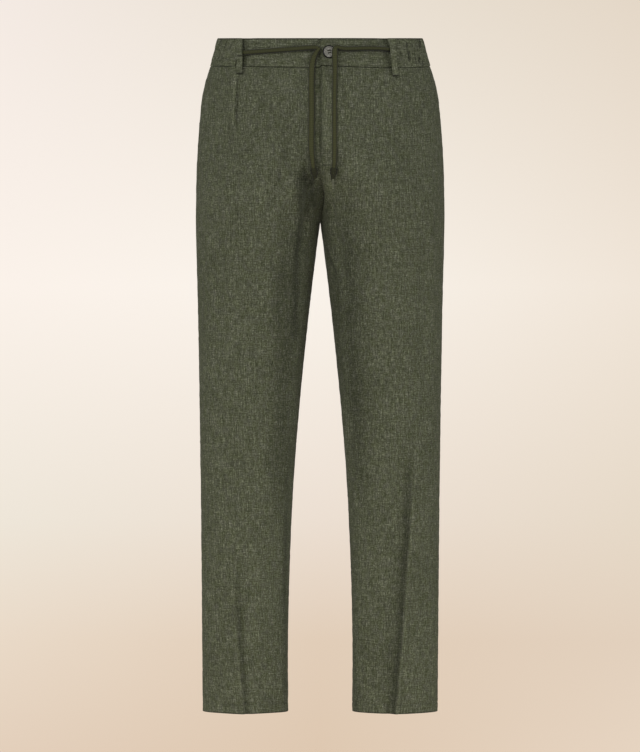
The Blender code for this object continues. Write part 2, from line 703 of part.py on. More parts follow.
# --- Fly -------------------------------------------------------------------------------------
def make_underlap():
    """The strip sewn to the wearer's right front, behind the lapping edge of the fly."""
    heights = np.linspace(WAIST_SEAM, FLY_BOTTOM, 9)
    across = np.concatenate([
        np.linspace(UNDERLAP_FROM, FLY_EDGE - SEAM_GAP, 3),
        np.linspace(FLY_EDGE + SEAM_GAP, UNDERLAP_TO, 5),
    ])
    behind = UNDERLAP_DEPTH + UNDERLAP_THICKNESS
    outer = []
    inner = []
    for z in heights:
        level = z - float(tilt(z))
        outer.append([surface_point(x, level, -UNDERLAP_DEPTH) for x in across])
        inner.append([surface_point(x, level, -behind) for x in across])
    points, faces = wall(np.array(outer), np.array(inner))
    return finish("fly_underlap", points, faces, "linen")


# --- Belt loops ------------------------------------------------------------------------------
def make_loop(loop):
    """A folded strip that arches over the waistband and is sewn down at both ends."""
    outer = []
    inner = []
    heights = [arch.z for arch in LOOP_ARCH[:-1]] + [loop.bottom]
    for z, arch in zip(heights, LOOP_ARCH):
        share = (BAND_TOP - z) / (BAND_TOP - loop.bottom)
        x = loop.x_top + (loop.x_bottom - loop.x_top) * share
        middle = band_angle(x, z, loop.face)
        low = band_point(middle - 0.01, z, 0.0)
        high = band_point(middle + 0.01, z, 0.0)
        half = LOOP_WIDTH / 2 * 0.02 / math.dist(low, high)
        stand = arch.over_cord if loop.cord else arch.plain
        places = np.linspace(middle - half, middle + half, len(LOOP_CROWN))
        outer.append([
            band_point(angle, z, stand + LOOP_THICKNESS + rise)
            for angle, rise in zip(places, LOOP_CROWN)
        ])
        inner.append([band_point(angle, z, stand) for angle in places])
    points, faces = wall(np.array(outer), np.array(inner))
    return finish(loop.name, points, faces, "linen_band")


# --- Button ----------------------------------------------------------------------------------
def make_button():
    """A turned disc with a raised rim and four holes, standing on its thread."""
    steps = BUTTON_SIDES
    points = [(0.0, 0.0, 0.0)]
    faces = []
    for stop in BUTTON_PROFILE:
        radius = BUTTON_DIAMETER / 2 - stop.inset
        for step in range(steps):
            turn_at = 2 * math.pi * step / steps
            points.append((radius * math.cos(turn_at), radius * math.sin(turn_at), stop.height))
    points.append((0.0, 0.0, BUTTON_DISH))
    rings = len(BUTTON_PROFILE)
    for step in range(steps):
        following = (step + 1) % steps
        faces.append((0, 1 + following, 1 + step))
        for ring in range(rings - 1):
            a = 1 + ring * steps
            faces.append((a + step, a + following, a + steps + following, a + steps + step))
        last = 1 + (rings - 1) * steps
        faces.append((last + step, last + following, len(points) - 1))
    disc = finish("button", np.array(points), faces, "button")
    # Its face looks along -Y, and turns a little to the wearer's left with the band.
    seat = surface_point(BUTTON_X, BUTTON_Z, BAND_LAP_OUT + BUTTON_STAND)
    holder = bpy.data.objects.new("button_place", None)
    bpy.context.scene.collection.objects.link(holder)
    holder.location = tuple(seat * MM)
    holder.rotation_euler = (math.radians(90), 0.0, BUTTON_LEAN)
    disc.parent = holder
    for index in range(4):
        turn_at = BUTTON_HOLE_TURN + index * math.pi / 2
        bpy.ops.mesh.primitive_cylinder_add(
            vertices=BUTTON_HOLE_SIDES,
            radius=BUTTON_HOLE / 2 * MM,
            depth=3 * BUTTON_THICKNESS * MM,
            location=(
                BUTTON_HOLE_SPREAD * math.cos(turn_at) * MM,
                BUTTON_HOLE_SPREAD * math.sin(turn_at) * MM,
                BUTTON_THICKNESS / 2 * MM,
            ),
        )
        cutter = bpy.context.active_object
        cutter.name = f"cutter_button_{index}"
        cutter.hide_render = True
        cutter.display_type = "WIRE"
        cutter.parent = holder
        cut = disc.modifiers.new(f"hole_{index}", "BOOLEAN")
        cut.object = cutter


# --- Drawstring ------------------------------------------------------------------------------
def smooth_route(stops):
    """Points every CORD_STEP along a smooth curve through the route's own points."""
    places = np.array([surface_point(stop.x, stop.z, stop.off) for stop in stops])
    places[:, 2] = [stop.z for stop in stops]
    before = np.vstack([2 * places[0] - places[1], places[:-1]])
    after = np.vstack([places[1:], 2 * places[-1] - places[-2]])
    slopes = (after - before) / 2
    dense = []
    for index in range(len(places) - 1):
        for t in np.linspace(0, 1, ROUTE_READS, endpoint=False):
            start = (1 + 2 * t) * (1 - t) ** 2 * places[index] + t * (1 - t) ** 2 * slopes[index]
            end = t * t * (3 - 2 * t) * places[index + 1] - t * t * (1 - t) * slopes[index + 1]
            dense.append(start + end)
    dense.append(places[-1])
    dense = np.array(dense)
    run = np.concatenate([[0.0], np.cumsum(np.linalg.norm(np.diff(dense, axis=0), axis=1))])
    count = int(round(run[-1] / CORD_STEP)) + 1
    wanted = np.linspace(0.0, run[-1], count)
    return np.stack([np.interp(wanted, run, dense[:, axis]) for axis in range(3)], axis=1)


def make_cord(name, stops):
    points = smooth_route(stops)
    curve = bpy.data.curves.new(name, "CURVE")
    curve.dimensions = "3D"
    curve.bevel_depth = CORD_DIAMETER / 2 * MM
    curve.bevel_resolution = 2
    curve.use_fill_caps = True
    spline = curve.splines.new("POLY")
    spline.points.add(len(points) - 1)
    for target, point in zip(spline.points, points):
        target.co = (*(point * MM), 1.0)
    curve.materials.append(material("cord"))
    obj = bpy.data.objects.new(name, curve)
    bpy.context.scene.collection.objects.link(obj)
    return points


def make_knot(name, cord_points):
    """A knotted end with its short tail, in line with the end of the cord."""
    down = cord_points[-1] - cord_points[-2]
    down /= np.linalg.norm(down)
    right = np.cross(down, [0.0, 1.0, 0.0])
    right /= np.linalg.norm(right)
    forward = np.cross(right, down)
    top = cord_points[-1] + down * SEAM_GAP
    points = []
    faces = []
    for level, bulge in enumerate(KNOT_PROFILE):
        for step in range(KNOT_SIDES):
            turn_at = 2 * math.pi * step / KNOT_SIDES
            swell = 1 + KNOT_UNEVEN * math.sin(2 * turn_at + level * KNOT_TWIST)
            radius = KNOT_RADIUS * bulge.radius * swell
            x = radius * math.cos(turn_at)
            y = radius * math.sin(turn_at)
            slant = KNOT_CUT_SLOPE * x if level == len(KNOT_PROFILE) - 1 else 0.0
            points.append(
                top + right * x + forward * y * KNOT_FLAT + down * (bulge.depth - slant)
            )
    for level in range(len(KNOT_PROFILE) - 1):
        for step in range(KNOT_SIDES):
            a = level * KNOT_SIDES + step
            b = level * KNOT_SIDES + (step + 1) % KNOT_SIDES
            faces.append((b, a, a + KNOT_SIDES, b + KNOT_SIDES))
    faces.append(tuple(range(KNOT_SIDES)))
    faces.append(tuple(reversed(range(len(points) - KNOT_SIDES, len(points)))))
    return finish(name, points, faces, "cord")


# --- The whole part --------------------------------------------------------------------------
def clear_scene():
    for obj in list(bpy.data.objects):
        bpy.data.objects.remove(obj)


def main():
    clear_scene()
    make_panel("front_right", -1, 1)
    make_panel("front_left", 1, 1)
    make_panel("back_right", -1, -1)
    make_panel("back_left", 1, -1)
    make_waistband()
    make_underlap()
    for loop in LOOPS:
        make_loop(loop)
    make_button()
    for name, route in (("drawstring_right", CORD_FROM_RIGHT), ("drawstring_left", CORD_FROM_LEFT)):
        make_knot(f"{name}_knot", make_cord(name, route))


main()
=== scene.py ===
"""Looks of the linen drawstring trousers: cloth, sewing, cords and button, light and camera.

The front faces -Y, and +X is the wearer's left. Sizes and tables are in millimetres, and a mesh
is turned into metres as it is made. Each shell follows the same rows and folds as its solid.
"""

import math
from collections import namedtuple

import bpy
import numpy as np
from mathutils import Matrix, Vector


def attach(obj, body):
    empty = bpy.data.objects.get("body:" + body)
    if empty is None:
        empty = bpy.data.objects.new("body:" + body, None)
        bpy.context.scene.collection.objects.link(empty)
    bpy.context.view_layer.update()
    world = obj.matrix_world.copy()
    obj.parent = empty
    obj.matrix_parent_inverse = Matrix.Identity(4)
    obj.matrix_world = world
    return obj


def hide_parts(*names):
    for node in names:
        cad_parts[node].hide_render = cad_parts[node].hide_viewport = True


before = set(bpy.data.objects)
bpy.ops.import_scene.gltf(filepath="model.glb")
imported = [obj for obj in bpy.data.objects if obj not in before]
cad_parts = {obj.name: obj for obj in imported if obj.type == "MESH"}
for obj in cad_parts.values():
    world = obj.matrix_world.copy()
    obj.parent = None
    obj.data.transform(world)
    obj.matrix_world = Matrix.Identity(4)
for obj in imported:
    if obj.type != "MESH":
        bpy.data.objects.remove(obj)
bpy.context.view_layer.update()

MM = 0.001
BODY = "root"
FULL_TURN = 2 * math.pi


def table(columns, *rows):
    """Rows of values, with these names for their columns."""
    row_of = namedtuple("Row", columns)
    return tuple(row_of(*row) for row in rows)


# --- Sizes, in millimetres ---
BAND_TOP = 22.0
BAND_BOTTOM = -21.0
BAND_MIDDLE = (BAND_TOP + BAND_BOTTOM) / 2
WAIST_SEAM = -21.15
FORK = -262.0
HEM = -1014.4
WAIST_TILT = 9.0
TILT_ENDS = -200.0
FRONT_CURVE_STARTS = -112.0
BACK_CURVE_STARTS = -76.0
CURVE_ARRIVES = 0.5
SEAM = 0.03               # from a seam's plane to the cloth's edge
BAND_GIRTH = 118.0        # turns an angle round the waist into a length, near enough
BAND_STITCH_IN = 2.6      # from the waistband's edge to its line of stitches
STITCH_SINK = 0.12        # the stitches' middle lies this far under the band's face

CLOTH = 0.9               # thickness of one layer of linen
HEM_FOLD = 14.0
HEM_THICKNESS = 2.2
HEM_ROLL = 1.1            # radius of the folded edge
HEM_SAG = 1.0             # the front hems hang lower in their middle
HEM_SAG_AT = 118.0
HEM_SAG_REACH = 27.0
HEM_SAG_STARTS = 950.0    # this far below the waist
HEM_STEP = 0.8            # half the height of the step from one layer of cloth to the hem
BAND_THICKNESS = 2.6
BAND_ROLL = 1.3
CASING_ROLL = 0.8
SEAM_DIP = 0.75           # the cloth turns in at a seam
SEAM_DIP_WIDTH = 2.6
# From a seam, where the painted shade along it starts to fade and where it ends.
SEAM_PAINTED_SHADE_ENDS = (2.0, 11.0)
FOLDS_CLEAR_SEAM = 16.0   # folds and slack start this far from a seam
SEAM_EASES_IN = 8.0       # beside the centre seam, whose edges stay together
TUCK_TOP = -17.0          # the panels run on up behind the waistband
TUCK_IN = 3.4
TUCK_AT_SIDE = 0.5        # there they stay inside the casing
TUCK_SIDE_ENDS = (12.0, 44.0)
TUCK_FROM = -22.1
HEM_GROOVE = 0.55         # along the hem's stitches
HEM_GROOVE_WIDTH = 1.2

FLY_EDGE = 0.5
FLY_BOTTOM = -184.0
FLY_LAP = 1.9
FLY_LAP_EDGE = 1.3        # how far from the seam the lap turns in
FLY_STEP_IN = 1.6         # the right front sinks where the left one lies over it
FLY_STEP_WIDTH = 2.4
HOLLOW_DEPTH = 9.0        # the right front falls in behind the left one below the fly
HOLLOW_WIDTH = 15.0
HOLLOW_LIP = 1.8          # beside it the left front stands out
HOLLOW_LIP_WIDTH = 9.0
HOLLOW_LIP_EDGE = 2.0
HOLLOW_RISES = (FORK + 2.0, FORK + 26.0)
HOLLOW_CLOSES = (-215.0, -198.0)
LAP_ENDS = (45.0, 78.0)   # how far across the left front it stands out
LAP_FADES = (-184.0, -134.0)
FLY_TACK = -180.0         # the bar of stitches at the fly's end
FLY_TACK_ENDS = (0.4, 18.0)
UNDERLAP_FROM = -10.0
UNDERLAP_TO = 40.0
UNDERLAP_DEPTH = 2.8
UNDERLAP_THICKNESS = 1.3

BAND_OUT = 1.2
BAND_GROOVE = 0.3         # along the band's stitches
BAND_GROOVE_WIDTH = 0.7
BAND_LAP_OUT = 2.6
TONGUE_IN = -0.9
TONGUE_END = 38.0
TONGUE_SINKS = (-6.0, 0.5)
LOOP_DIP = 3.0            # under a belt loop that a cord passes through
LOOP_DIP_ENDS = (9.0, 26.0)

CASING_OUT = 1.0
CASING_EDGE = 0.25
CASING_FLARE = 1.2        # it stands out a little more at its top
CASING_IN = 1.9
CASING_PAST_RIGHT = 1.6
CASING_PAST_LEFT = 3.6
GATHER_COLUMNS = 720
PANEL_COLUMNS = 88
GATHER_SIZE = 5.0         # from one gather to the next
GATHER_HEIGHT = 2.3
GATHER_AT_EDGE = 0.55
GATHER_PAINTED_LIGHT = 0.1        # painted highlight on the crowns of the gathers
CRINKLE_SIZE = 2.6        # the finer crumple between the gathers
CRINKLE_HEIGHT = 0.7
EASE_HEIGHT = 1.1         # the gathers run on below the waist seam, to EASE_ENDS
EASE_ENDS = -70.0
EASE_STARTS = 0.12        # and start this angle past the front loops
PUCKER_SIZE = 5.5         # from one pucker along a seam to the next
PUCKER_HEIGHT = 0.32
PUCKER_ENDS = 12.0
CALM_CROWN = 0.62         # the casing is calm and flatter under a belt loop
CALM_ENDS = (0.05, 0.13)  # angles

LOOP_WIDTH = 10.0
LOOP_THICKNESS = 1.8
LOOP_CROWN = 0.45
LOOP_LIGHT = 0.06
LOOP_FLARE_ENDS = 15.0    # how far down a loop is wider
LOOP_STITCH_LINE = 0.68   # share of the half width where its two lines of stitches run
LOOP_GROOVE = 0.22        # along its stitches
LOOP_ROUNDING = 0.8       # how far its outer edges are rounded off
LOOP_LIMP = 0.3           # its unevenness
LOOP_FOOT_PAINTED_SHADE = 0.9      # painted shade at its folded foot
# Painted light on the wearer's left front loop below the cord, where the cord would shade it.
LOOP_PAINTED_LIGHT_BELOW_CORD = 0.28
LOOP_CREASE = -5.4        # a crease across the right loop, just below the cord
LOOP_CREASE_DEPTH = 1.3
# Painted shade in the right loop's crease.
LOOP_CREASE_PAINTED_SHADE = 0.8

BUTTON_RADIUS = 10.0
BUTTON_THICKNESS = 2.8
BUTTON_X = 13.5
BUTTON_Z = -8.0
BUTTON_STAND = 0.8
BUTTON_HOLE = 1.1         # radius of each hole
BUTTON_HOLE_SPREAD = 2.5
BUTTON_HOLE_TURN = math.radians(55)
BUTTON_LEAN = 0.057
BUTTON_SIDES = 96
BUTTON_THREAD_RADIUS = 0.3
BUTTON_THREAD_LANES = (-0.55, 0.0, 0.55)
BUTTON_SHANK_RADIUS = 1.9
BUTTON_RIM = (7.9, 8.4)   # from here to here it turns dark: dark horn, and painted shade along its edge
BUTTONHOLE_IN = 4.0       # its middle from the button's
BUTTONHOLE_HALF_LENGTH = 8.6
BUTTONHOLE_HALF_WIDTH = 1.2

CORD_HALF_THICK = 3.15
CORD_GROOVE = 0.2         # along the middle of its broad sides
CORD_STEP = 1.1
CORD_SIDES = 28
PLAIT_LENGTH = 5.2        # length of one crossing of the braid
PLAIT_STRANDS = 6
PLAIT_HEIGHT = 0.16
CORD_SHADE = 0.62         # painted shade: darker on the side turned to SHADE_SIDE
SHADE_SIDE = np.array([0.62, 0.0, -0.78])
CORD_ACROSS_SHADE = 0.18  # darker where it runs across the waistband
CORD_SQUARENESS = 0.94    # below 1 its section is fuller than an ellipse
HIP_HALF_WIDTH = 170.0    # a plain ellipse that tells the cords which way is out
HIP_HALF_DEPTH = 105.0
KNOT_RADIUS = 6.0
KNOT_SIDES = 44
KNOT_FLATNESS = 0.86
KNOT_WRAP_HEIGHT = 0.75   # of each turn of the cord round the knot
KNOT_WRAP_DEPTH = 0.55    # of the valleys between the turns
KNOT_WRAP_ENDS = (11.0, 12.6)

# --- Tables, in millimetres ---
SECTIONS = table(
    "z outer front back",
    (22, 156, 97, 101),
    (-21, 169, 101.5, 106),
    (-46, 177, 104.7, 111.5),
    (-73, 182.4, 108, 118),
    (-95, 184.6, 109.9, 122.5),
    (-116, 186.5, 111.3, 126.3),
    (-135, 187.9, 112, 129),
    (-196, 190.7, 111, 132),
    (-243, 191.2, 105, 126),
    (-289, 190.9, 97, 113),
    (-381, 188.6, 88, 99),
    (-535, 185.9, 76, 86),
    (-689, 183.9, 64, 74),
    (-844, 182.3, 54, 62),
    (-1017, 181, 44, 52),
)

LEG_GAP = table(
    "z half",
    (FORK, SEAM),
    (-289, 3.8),
    (-320, 7.6),
    (-381, 15),
    (-443, 21.8),
    (-535, 31),
    (-628, 38.7),
    (-720, 44.1),
    (-813, 47.6),
    (-905, 49.6),
    (-1017, 49.2),
)

CENTRE_FRONT = table(
    "z x",
    (22, FLY_EDGE),
    (-150, FLY_EDGE),
    (FLY_BOTTOM, FLY_EDGE),
    (-200, 0.9),
    (-209, 2.6),
    (-217, 5.2),
    (-227, 5.9),
    (-239, 4.4),
    (-251, 1.8),
    (FORK, 0),
)

FRONT_CREASE = table(
    "z x",
    (22, 126),
    (-21, 130),
    (-135, 131),
    (-262, 133),
    (-381, 135),
    (-535, 136),
    (-720, 135),
    (-796, 131),
    (-896, 124),
    (-1017, 115.5),
)


def folds(*rows):
    """Folds that run down a panel from z_top to z_end through three places x. Each is so wide on
    its outer and inner side, and stands out by height, or in where that is negative."""
    return table("z_top z_end x_top x_mid x_end outer inner height fade", *rows)


FOLDS = {
    "front_right": folds(
        (-21, -176, 128.8, 131.3, 131.8, 26, 3.5, 2.6, 50),
        (-70, -262, 39.8, 51.8, 76.8, 19, 15, -4.5, 70),
        (-168, -375, 31.8, 35.8, 48.8, 16, 11, 4, 50),
        (-190, -300, 15.8, 18.8, 26.8, 11, 12, -5.5, 36),
        (-120, -560, 160.8, 158.8, 158.8, 20, 26, -3, 120),
        (-760, -1017, 131.8, 124.8, 116.3, 16, 5, 2.2, 70),
        # finer ones, which the solids leave out
        (-40, -114, 127.2, 128.8, 130.2, 3.4, 1.4, 1.5, 22),
        (-40, -114, 124.2, 125.8, 127.2, 1.8, 5, -1.6, 22),
        (-106, -150, 137.8, 138.8, 139.8, 4, 1.6, 1.2, 14),
        (-106, -150, 135, 136, 137, 1.6, 4, -1.1, 14),
        (-46, -118, 98.8, 96.8, 92.8, 6, 8, -0.8, 24),
        (-30, -150, 6.4, 6.4, 6.4, 2.2, 2, -2.4, 30),
        (-150, -236, 60.8, 52.8, 44.8, 7, 5, 1.1, 30),
        (-206, -330, 40.8, 30.8, 30.8, 5, 4, 0.9, 34),
        (-232, -300, 58.8, 44.8, 32.8, 5, 4, -0.9, 24),
        (-300, -520, 88.8, 90.8, 96.8, 12, 14, -0.9, 80),
        (-420, -640, 120.8, 126.8, 130.8, 12, 9, 0.8, 80),
        (-560, -760, 78.8, 80.8, 86.8, 10, 12, -0.8, 70),
        (-820, -985, 88.8, 86.8, 82.8, 8, 10, -0.7, 50),
        (-700, -1017, 134.8, 127.8, 117.8, 3.6, 2, 1, 120),
        (-740, -1017, 128.3, 121.8, 113.2, 3.6, 8.5, -2.9, 110),
    ),
    "front_left": folds(
        (-21, -170, 119.2, 124.2, 126.2, 24, 4.5, 1.8, 55),
        (-42, -215, 79.2, 83.2, 87.2, 15, 13, -3.2, 60),
        (-110, -215, 120.2, 122.2, 123.2, 12, 10, -2.4, 45),
        (-200, -330, 13.2, 21.2, 39.2, 12, 12, -4, 50),
        (-262, -400, 21.2, 33.2, 57.2, 12, 14, -3, 50),
        (-160, -600, 159.2, 158.2, 157.2, 18, 24, -2.4, 130),
        (-640, -1017, 138.2, 127.2, 116.7, 5, 17, 3.4, 90),
        (-660, -1017, 125.2, 112.2, 104.2, 9, 16, -2.6, 90),
        # finer ones, which the solids leave out
        (-24, -96, 105.2, 107.2, 111.2, 5, 4, 0.9, 22),
        (-40, -132, 59.2, 61.2, 65.2, 7, 9, -0.7, 34),
        (-150, -250, 29.2, 41.2, 63.2, 7, 5, 1, 34),
        (-276, -358, 8.2, 18.2, 35.2, 4.5, 3.2, 1.7, 26),
        (-276, -358, 3.2, 13.2, 30.2, 3, 6, -1.5, 26),
        (-250, -352, 23.2, 43.2, 71.2, 6, 6, -1, 34),
        (-330, -560, 95.2, 97.2, 103.2, 14, 12, -0.9, 80),
        (-480, -700, 139.2, 139.2, 136.2, 8, 12, 0.9, 80),
        (-600, -1017, 140.7, 130.2, 116.7, 3.4, 2.4, 0.9, 120),
        (-540, -1017, 135.2, 126.6, 109.8, 6.4, 15, -4.2, 170),
        (-840, -990, 81.2, 83.2, 79.2, 9, 8, -0.7, 50),
    ),
    "back_right": folds(
        (-60, -250, 60, 80, 118, 22, 18, -3.5, 70),
        (-215, -330, 30, 60, 110, 20, 24, -5, 45),
        (-262, -420, 22, 38, 66, 16, 14, -3.2, 60),
        (-360, -1017, 118, 116, 115, 12, 12, 2, 120),
        # finer ones, which the solids leave out
        (-90, -220, 30, 44, 70, 9, 7, -1.1, 40),
        (-236, -300, 20, 44, 80, 6, 5, 1.2, 22),
        (-470, -560, 70, 100, 140, 12, 12, -1.6, 34),
        (-540, -640, 80, 112, 150, 10, 12, -1.2, 34),
        (-700, -930, 88, 90, 84, 12, 12, -0.9, 80),
    ),
    "back_left": folds(
        (-48, -230, 72, 90, 122, 20, 20, -3, 70),
        (-222, -318, 24, 66, 124, 22, 22, -4.6, 40),
        (-275, -450, 24, 44, 72, 15, 16, -3.6, 60),
        (-390, -1017, 117, 117, 115, 12, 12, 2.2, 120),
        # finer ones, which the solids leave out
        (-84, -206, 34, 50, 76, 8, 8, -1.2, 40),
        (-232, -310, 22, 50, 92, 6, 6, 1.1, 24),
        (-455, -540, 74, 104, 146, 12, 12, -1.5, 34),
        (-530, -655, 76, 108, 148, 11, 12, -1.3, 38),
        (-720, -960, 90, 86, 88, 12, 12, -0.9, 80),
    ),
}

# Painted light and shade on the linen, laid out like folds: a height above 0 is painted light and
# below 0 painted shade. It paints shade in the hollow below the fly, along the inner thighs and
# beside the pressed creases, and light on the crease ridges and beside the cords.
PAINTED_LIGHT_AND_SHADE = {
    "front_right": folds(
        (-170, -340, 30.8, 32.8, 40.8, 13, 20, -0.48, 34),
        (-181, -268, 21.8, 15.8, 15.8, 16, 13, -0.38, 24),
        (-188, -214, 12.9, 12.4, 12.4, 7, 7, -0.34, 8),
        (-236, -350, 7.8, 11.3, 17.3, 20, 26, 0.44, 34),
        (-306, -470, 31.6, 34.6, 41.6, 16, 14, -0.19, 30),
        (-312, -372, 53.6, 55.6, 59.6, 14, 12, -0.12, 22),
        (-198, -248, 9.8, 9.8, 9.8, 9, 11, -0.38, 14),
        (-300, -460, 38.8, 37.8, 40.8, 17, 15, -0.32, 50),
        (-300, -450, 64.8, 64.8, 64.8, 22, 18, -0.14, 50),
        (-440, -700, 42.8, 48.8, 56.8, 20, 18, -0.1, 60),
        (-236, -720, 44.8, 54.8, 70.8, 30, 24, -0.25, 90),
        (-560, -1017, 44.8, 53.8, 53.8, 14, 10, -0.14, 90),
        (-34, -118, 128.2, 129.8, 131.2, 2.6, 1.6, 0.45, 12),
        (-34, -118, 125.2, 126.8, 128.2, 1.6, 3.2, -0.5, 12),
        (-106, -152, 138.6, 139.6, 140.6, 2.6, 1.4, 0.2, 12),
        (-106, -152, 136, 137, 138, 1.4, 3, -0.28, 12),
        (-700, -1017, 136.8, 130.8, 117.4, 3, 1.8, 0.13, 90),
        (-780, -1017, 130.5, 124.3, 112.6, 2.8, 8, -0.26, 110),
        (-740, -930, 100, 99, 98, 14, 14, 0.08, 50),
        (-640, -1017, 52, 52.6, 52.2, 16, 14, -0.2, 120),
        (-972, -1017, 76, 72, 68, 34, 30, -0.13, 20),
        (-128, -268, 49, 59.5, 85, 13, 12, -0.18, 40),
        (-24, -176, 13.8, 13.8, 11.8, 16, 12, 0.2, 20),
    ),
    "front_left": folds(
        (-24, -240, 11.2, 12.2, 14.2, 16, 11, 0.26, 30),
        (-205, -720, 39.2, 45.2, 67.2, 30, 20, -0.24, 80),
        (-560, -1017, 43.2, 52.2, 52.2, 14, 10, -0.1, 90),
        (-190, -240, 11.2, 15.2, 16.2, 8, 9, 0.16, 16),
        (-30, -176, 27.2, 27.2, 27.2, 8, 6, 0.14, 20),
        (-560, -1017, 149.2, 135.3, 116.8, 4.4, 2, 0.26, 150),
        (-540, -1017, 141.7, 130.4, 112.6, 4.2, 15, -0.5, 230),
        (-720, -990, 125, 112.5, 103, 6, 20, -0.16, 60),
        (-640, -1017, 41, 49, 52, 16, 14, -0.13, 120),
        (-965, -1017, 56, 56, 56, 26, 18, -0.15, 20),
        (-262, -560, 21.2, 25.2, 33.2, 18, 16, -0.16, 60),
        (-262, -640, 45.2, 51.2, 59.2, 34, 24, -0.13, 60),
        (-316, -560, 27, 32.5, 42, 14, 16, -0.17, 34),
        (-300, -600, 66, 66, 72, 26, 20, -0.07, 50),
        (-276, -358, 5.7, 15.7, 32.7, 2.4, 4.4, -0.4, 26),
        (-276, -358, 9.2, 19.2, 36.2, 3.4, 2, 0.2, 26),
    ),
}
BAND_LIGHT = 0.06
BAND_TOP_PAINTED_SHADE = -0.66         # painted shade along the very top of the waistband
# Painted shade along the side seams, and along the hem's bottom edge.
SIDE_SEAM_PAINTED_SHADE = 0.16
HEM_EDGE_PAINTED_SHADE = 0.46
GATHER_VALLEY_PAINTED_SHADE = 0.85        # painted shade in the valleys of the gathers

# How far the waist seam lies below its level, at places from the wearer's right to the left.
WAIST_SEAM_LINE = table(
    "x drop",
    (-168, 0),
    (-143, -0.4),
    (-120, 0),
    (-60, 0.9),
    (0.45, 1.4),
    (0.55, -1.5),
    (50, 0.7),
    (99, 2.1),
    (150, 1.5),
    (168, 0),
)
SEAM_LINE_REACH = 40.0

# The panels: side is 1 on the wearer's left, face is 1 in front, the inseam column says how much
# painted shade darkens the turn of the inseam, and the flat cloth's size and area are in metres.
PANELS = {panel.name: panel for panel in table(
    "name side face seed inseam_tone flat area hangs_from",
    ("front_right", -1, 1, 0.6, 0.0, (0.315, 1.02), 0.262, ["waistband_front_right_linen"]),
    ("front_left", 1, 1, 1.3, 0.45, (0.315, 1.02), 0.262, ["waistband_front_left_linen"]),
    ("back_right", -1, -1, 2.2, 0.45, (0.335, 1.03), 0.272, []),
    ("back_left", 1, -1, 3.1, 0.45, (0.335, 1.03), 0.272, []),
)}

# The unevenness of cloth that hangs free, from its long waves to its short ones. Lean is how far
# down the cloth a wave has shifted sideways by its own width.
SLACK = table(
    "height across lean down seed",
    (0.9, 34, 210, 88, 0),
    (0.5, 15, -160, 52, 4),
    (0.16, 6, math.inf, 19, 9),
)

# A loop's middle at its top and bottom, and how much wider it is at its very top.
LOOPS = table(
    "name x_top x_bottom bottom face cord flare",
    ("belt_loop_front_right", -123.3, -123.3, -33, 1, True, 0),
    ("belt_loop_front_left", 109.7, 115.2, -36.2, 1, True, 0.55),
    ("belt_loop_back_right", -88, -90, -31, -1, False, 0),
    ("belt_loop_back_centre", 0, 0, -31, -1, False, 0),
    ("belt_loop_back_left", 88, 90, -31, -1, False, 0),
)
# How far a loop's back stands out from the band, over a cord and without one.
LOOP_ARCH = table(
    "z over_cord plain",
    (BAND_TOP - 0.4, 2.6, 2.6),
    (17, 4.4, 4.2),
    (8.5, 6.6, 4.8),
    (1, 7, 5),
    (-7, 6.2, 4.8),
    (-15, 4.4, 4.2),
    (-20.5, 3.6, 3),
    (-25, 3.2, 1.2),
    (-31, 3, 0.5),
)

# The drawstring: x, height, how far its middle stands off the cloth, and half its width there.
# One end turns back down before the button, and the other one turns down over its rim.
ROUTE = "x z off half"
CORD_FROM_RIGHT = table(
    ROUTE,
    (-123.2, -5.6, 2.3, 3.9),
    (-112.8, -6.5, 3, 3.8),
    (-98.8, -6.6, 4.7, 3.7),
    (-75.8, -5.7, 4.8, 3.7),
    (-50.8, -4.3, 4.9, 3.8),
    (-30.8, -3.1, 5.3, 3.8),
    (-16.8, -2.1, 6, 3.8),
    (-8.8, -1.7, 7.2, 3.6),
    (-4, -2.2, 8, 3.4),
    (-2.3, -4.8, 7.2, 3.4),
    (-4.8, -8.2, 5.8, 3.8),
    (-7, -12, 4.9, 4.3),
    (-9.4, -16.8, 4.7, 4.6),
    (-11.1, -23.5, 4.8, 4.7),
    (-12.4, -34, 4.8, 4.75),
    (-13, -60, 4.1, 4.7),
    (-12.6, -95, 3.9, 4.7),
    (-13, -125, 4.2, 4.7),
    (-13.6, -155, 5.6, 4.6),
    (-12.6, -174, 6.5, 4),
    (-11.8, -184, 6.9, 3.5),
)
CORD_FROM_LEFT = table(
    ROUTE,
    (111.4, -3, 2.3, 3.4),
    (100.2, -2.3, 3, 3.4),
    (86.2, -2, 4.7, 3.5),
    (67.2, -2.2, 5.3, 3.6),
    (47.2, -3.4, 6, 3.7),
    (36.2, -3.7, 7, 3.8),
    (29.7, -2.8, 9, 3.8),
    (25.1, -1.6, 10.4, 3.7),
    (22, -3.8, 10.8, 4.1),
    (21.2, -8.4, 10.8, 4.5),
    (21.3, -15, 10.6, 4.5),
    (21.6, -22, 9.6, 4.3),
    (21.8, -34, 7.4, 3.9),
    (21.6, -54, 6, 3.5),
    (21.3, -80, 5.4, 3.5),
    (21.2, -110, 5.2, 3.6),
    (21.6, -138, 5.2, 3.7),
    (22, -160, 6.4, 3.8),
    (22.2, -174, 7.2, 3.6),
    (22.2, -184, 7.6, 3.3),
)

KNOT_PROFILE = table(
    "depth radius",
    (0, 0.6),
    (1.2, 0.86),
    (3.4, 0.98),
    (5.6, 0.92),
    (6.8, 0.84),
    (8.2, 0.92),
    (10, 0.86),
    (11.6, 0.66),
    (13, 0.58),
    (17.4, 0.56),
)
KNOT_CUT_SLOPE = 0.55


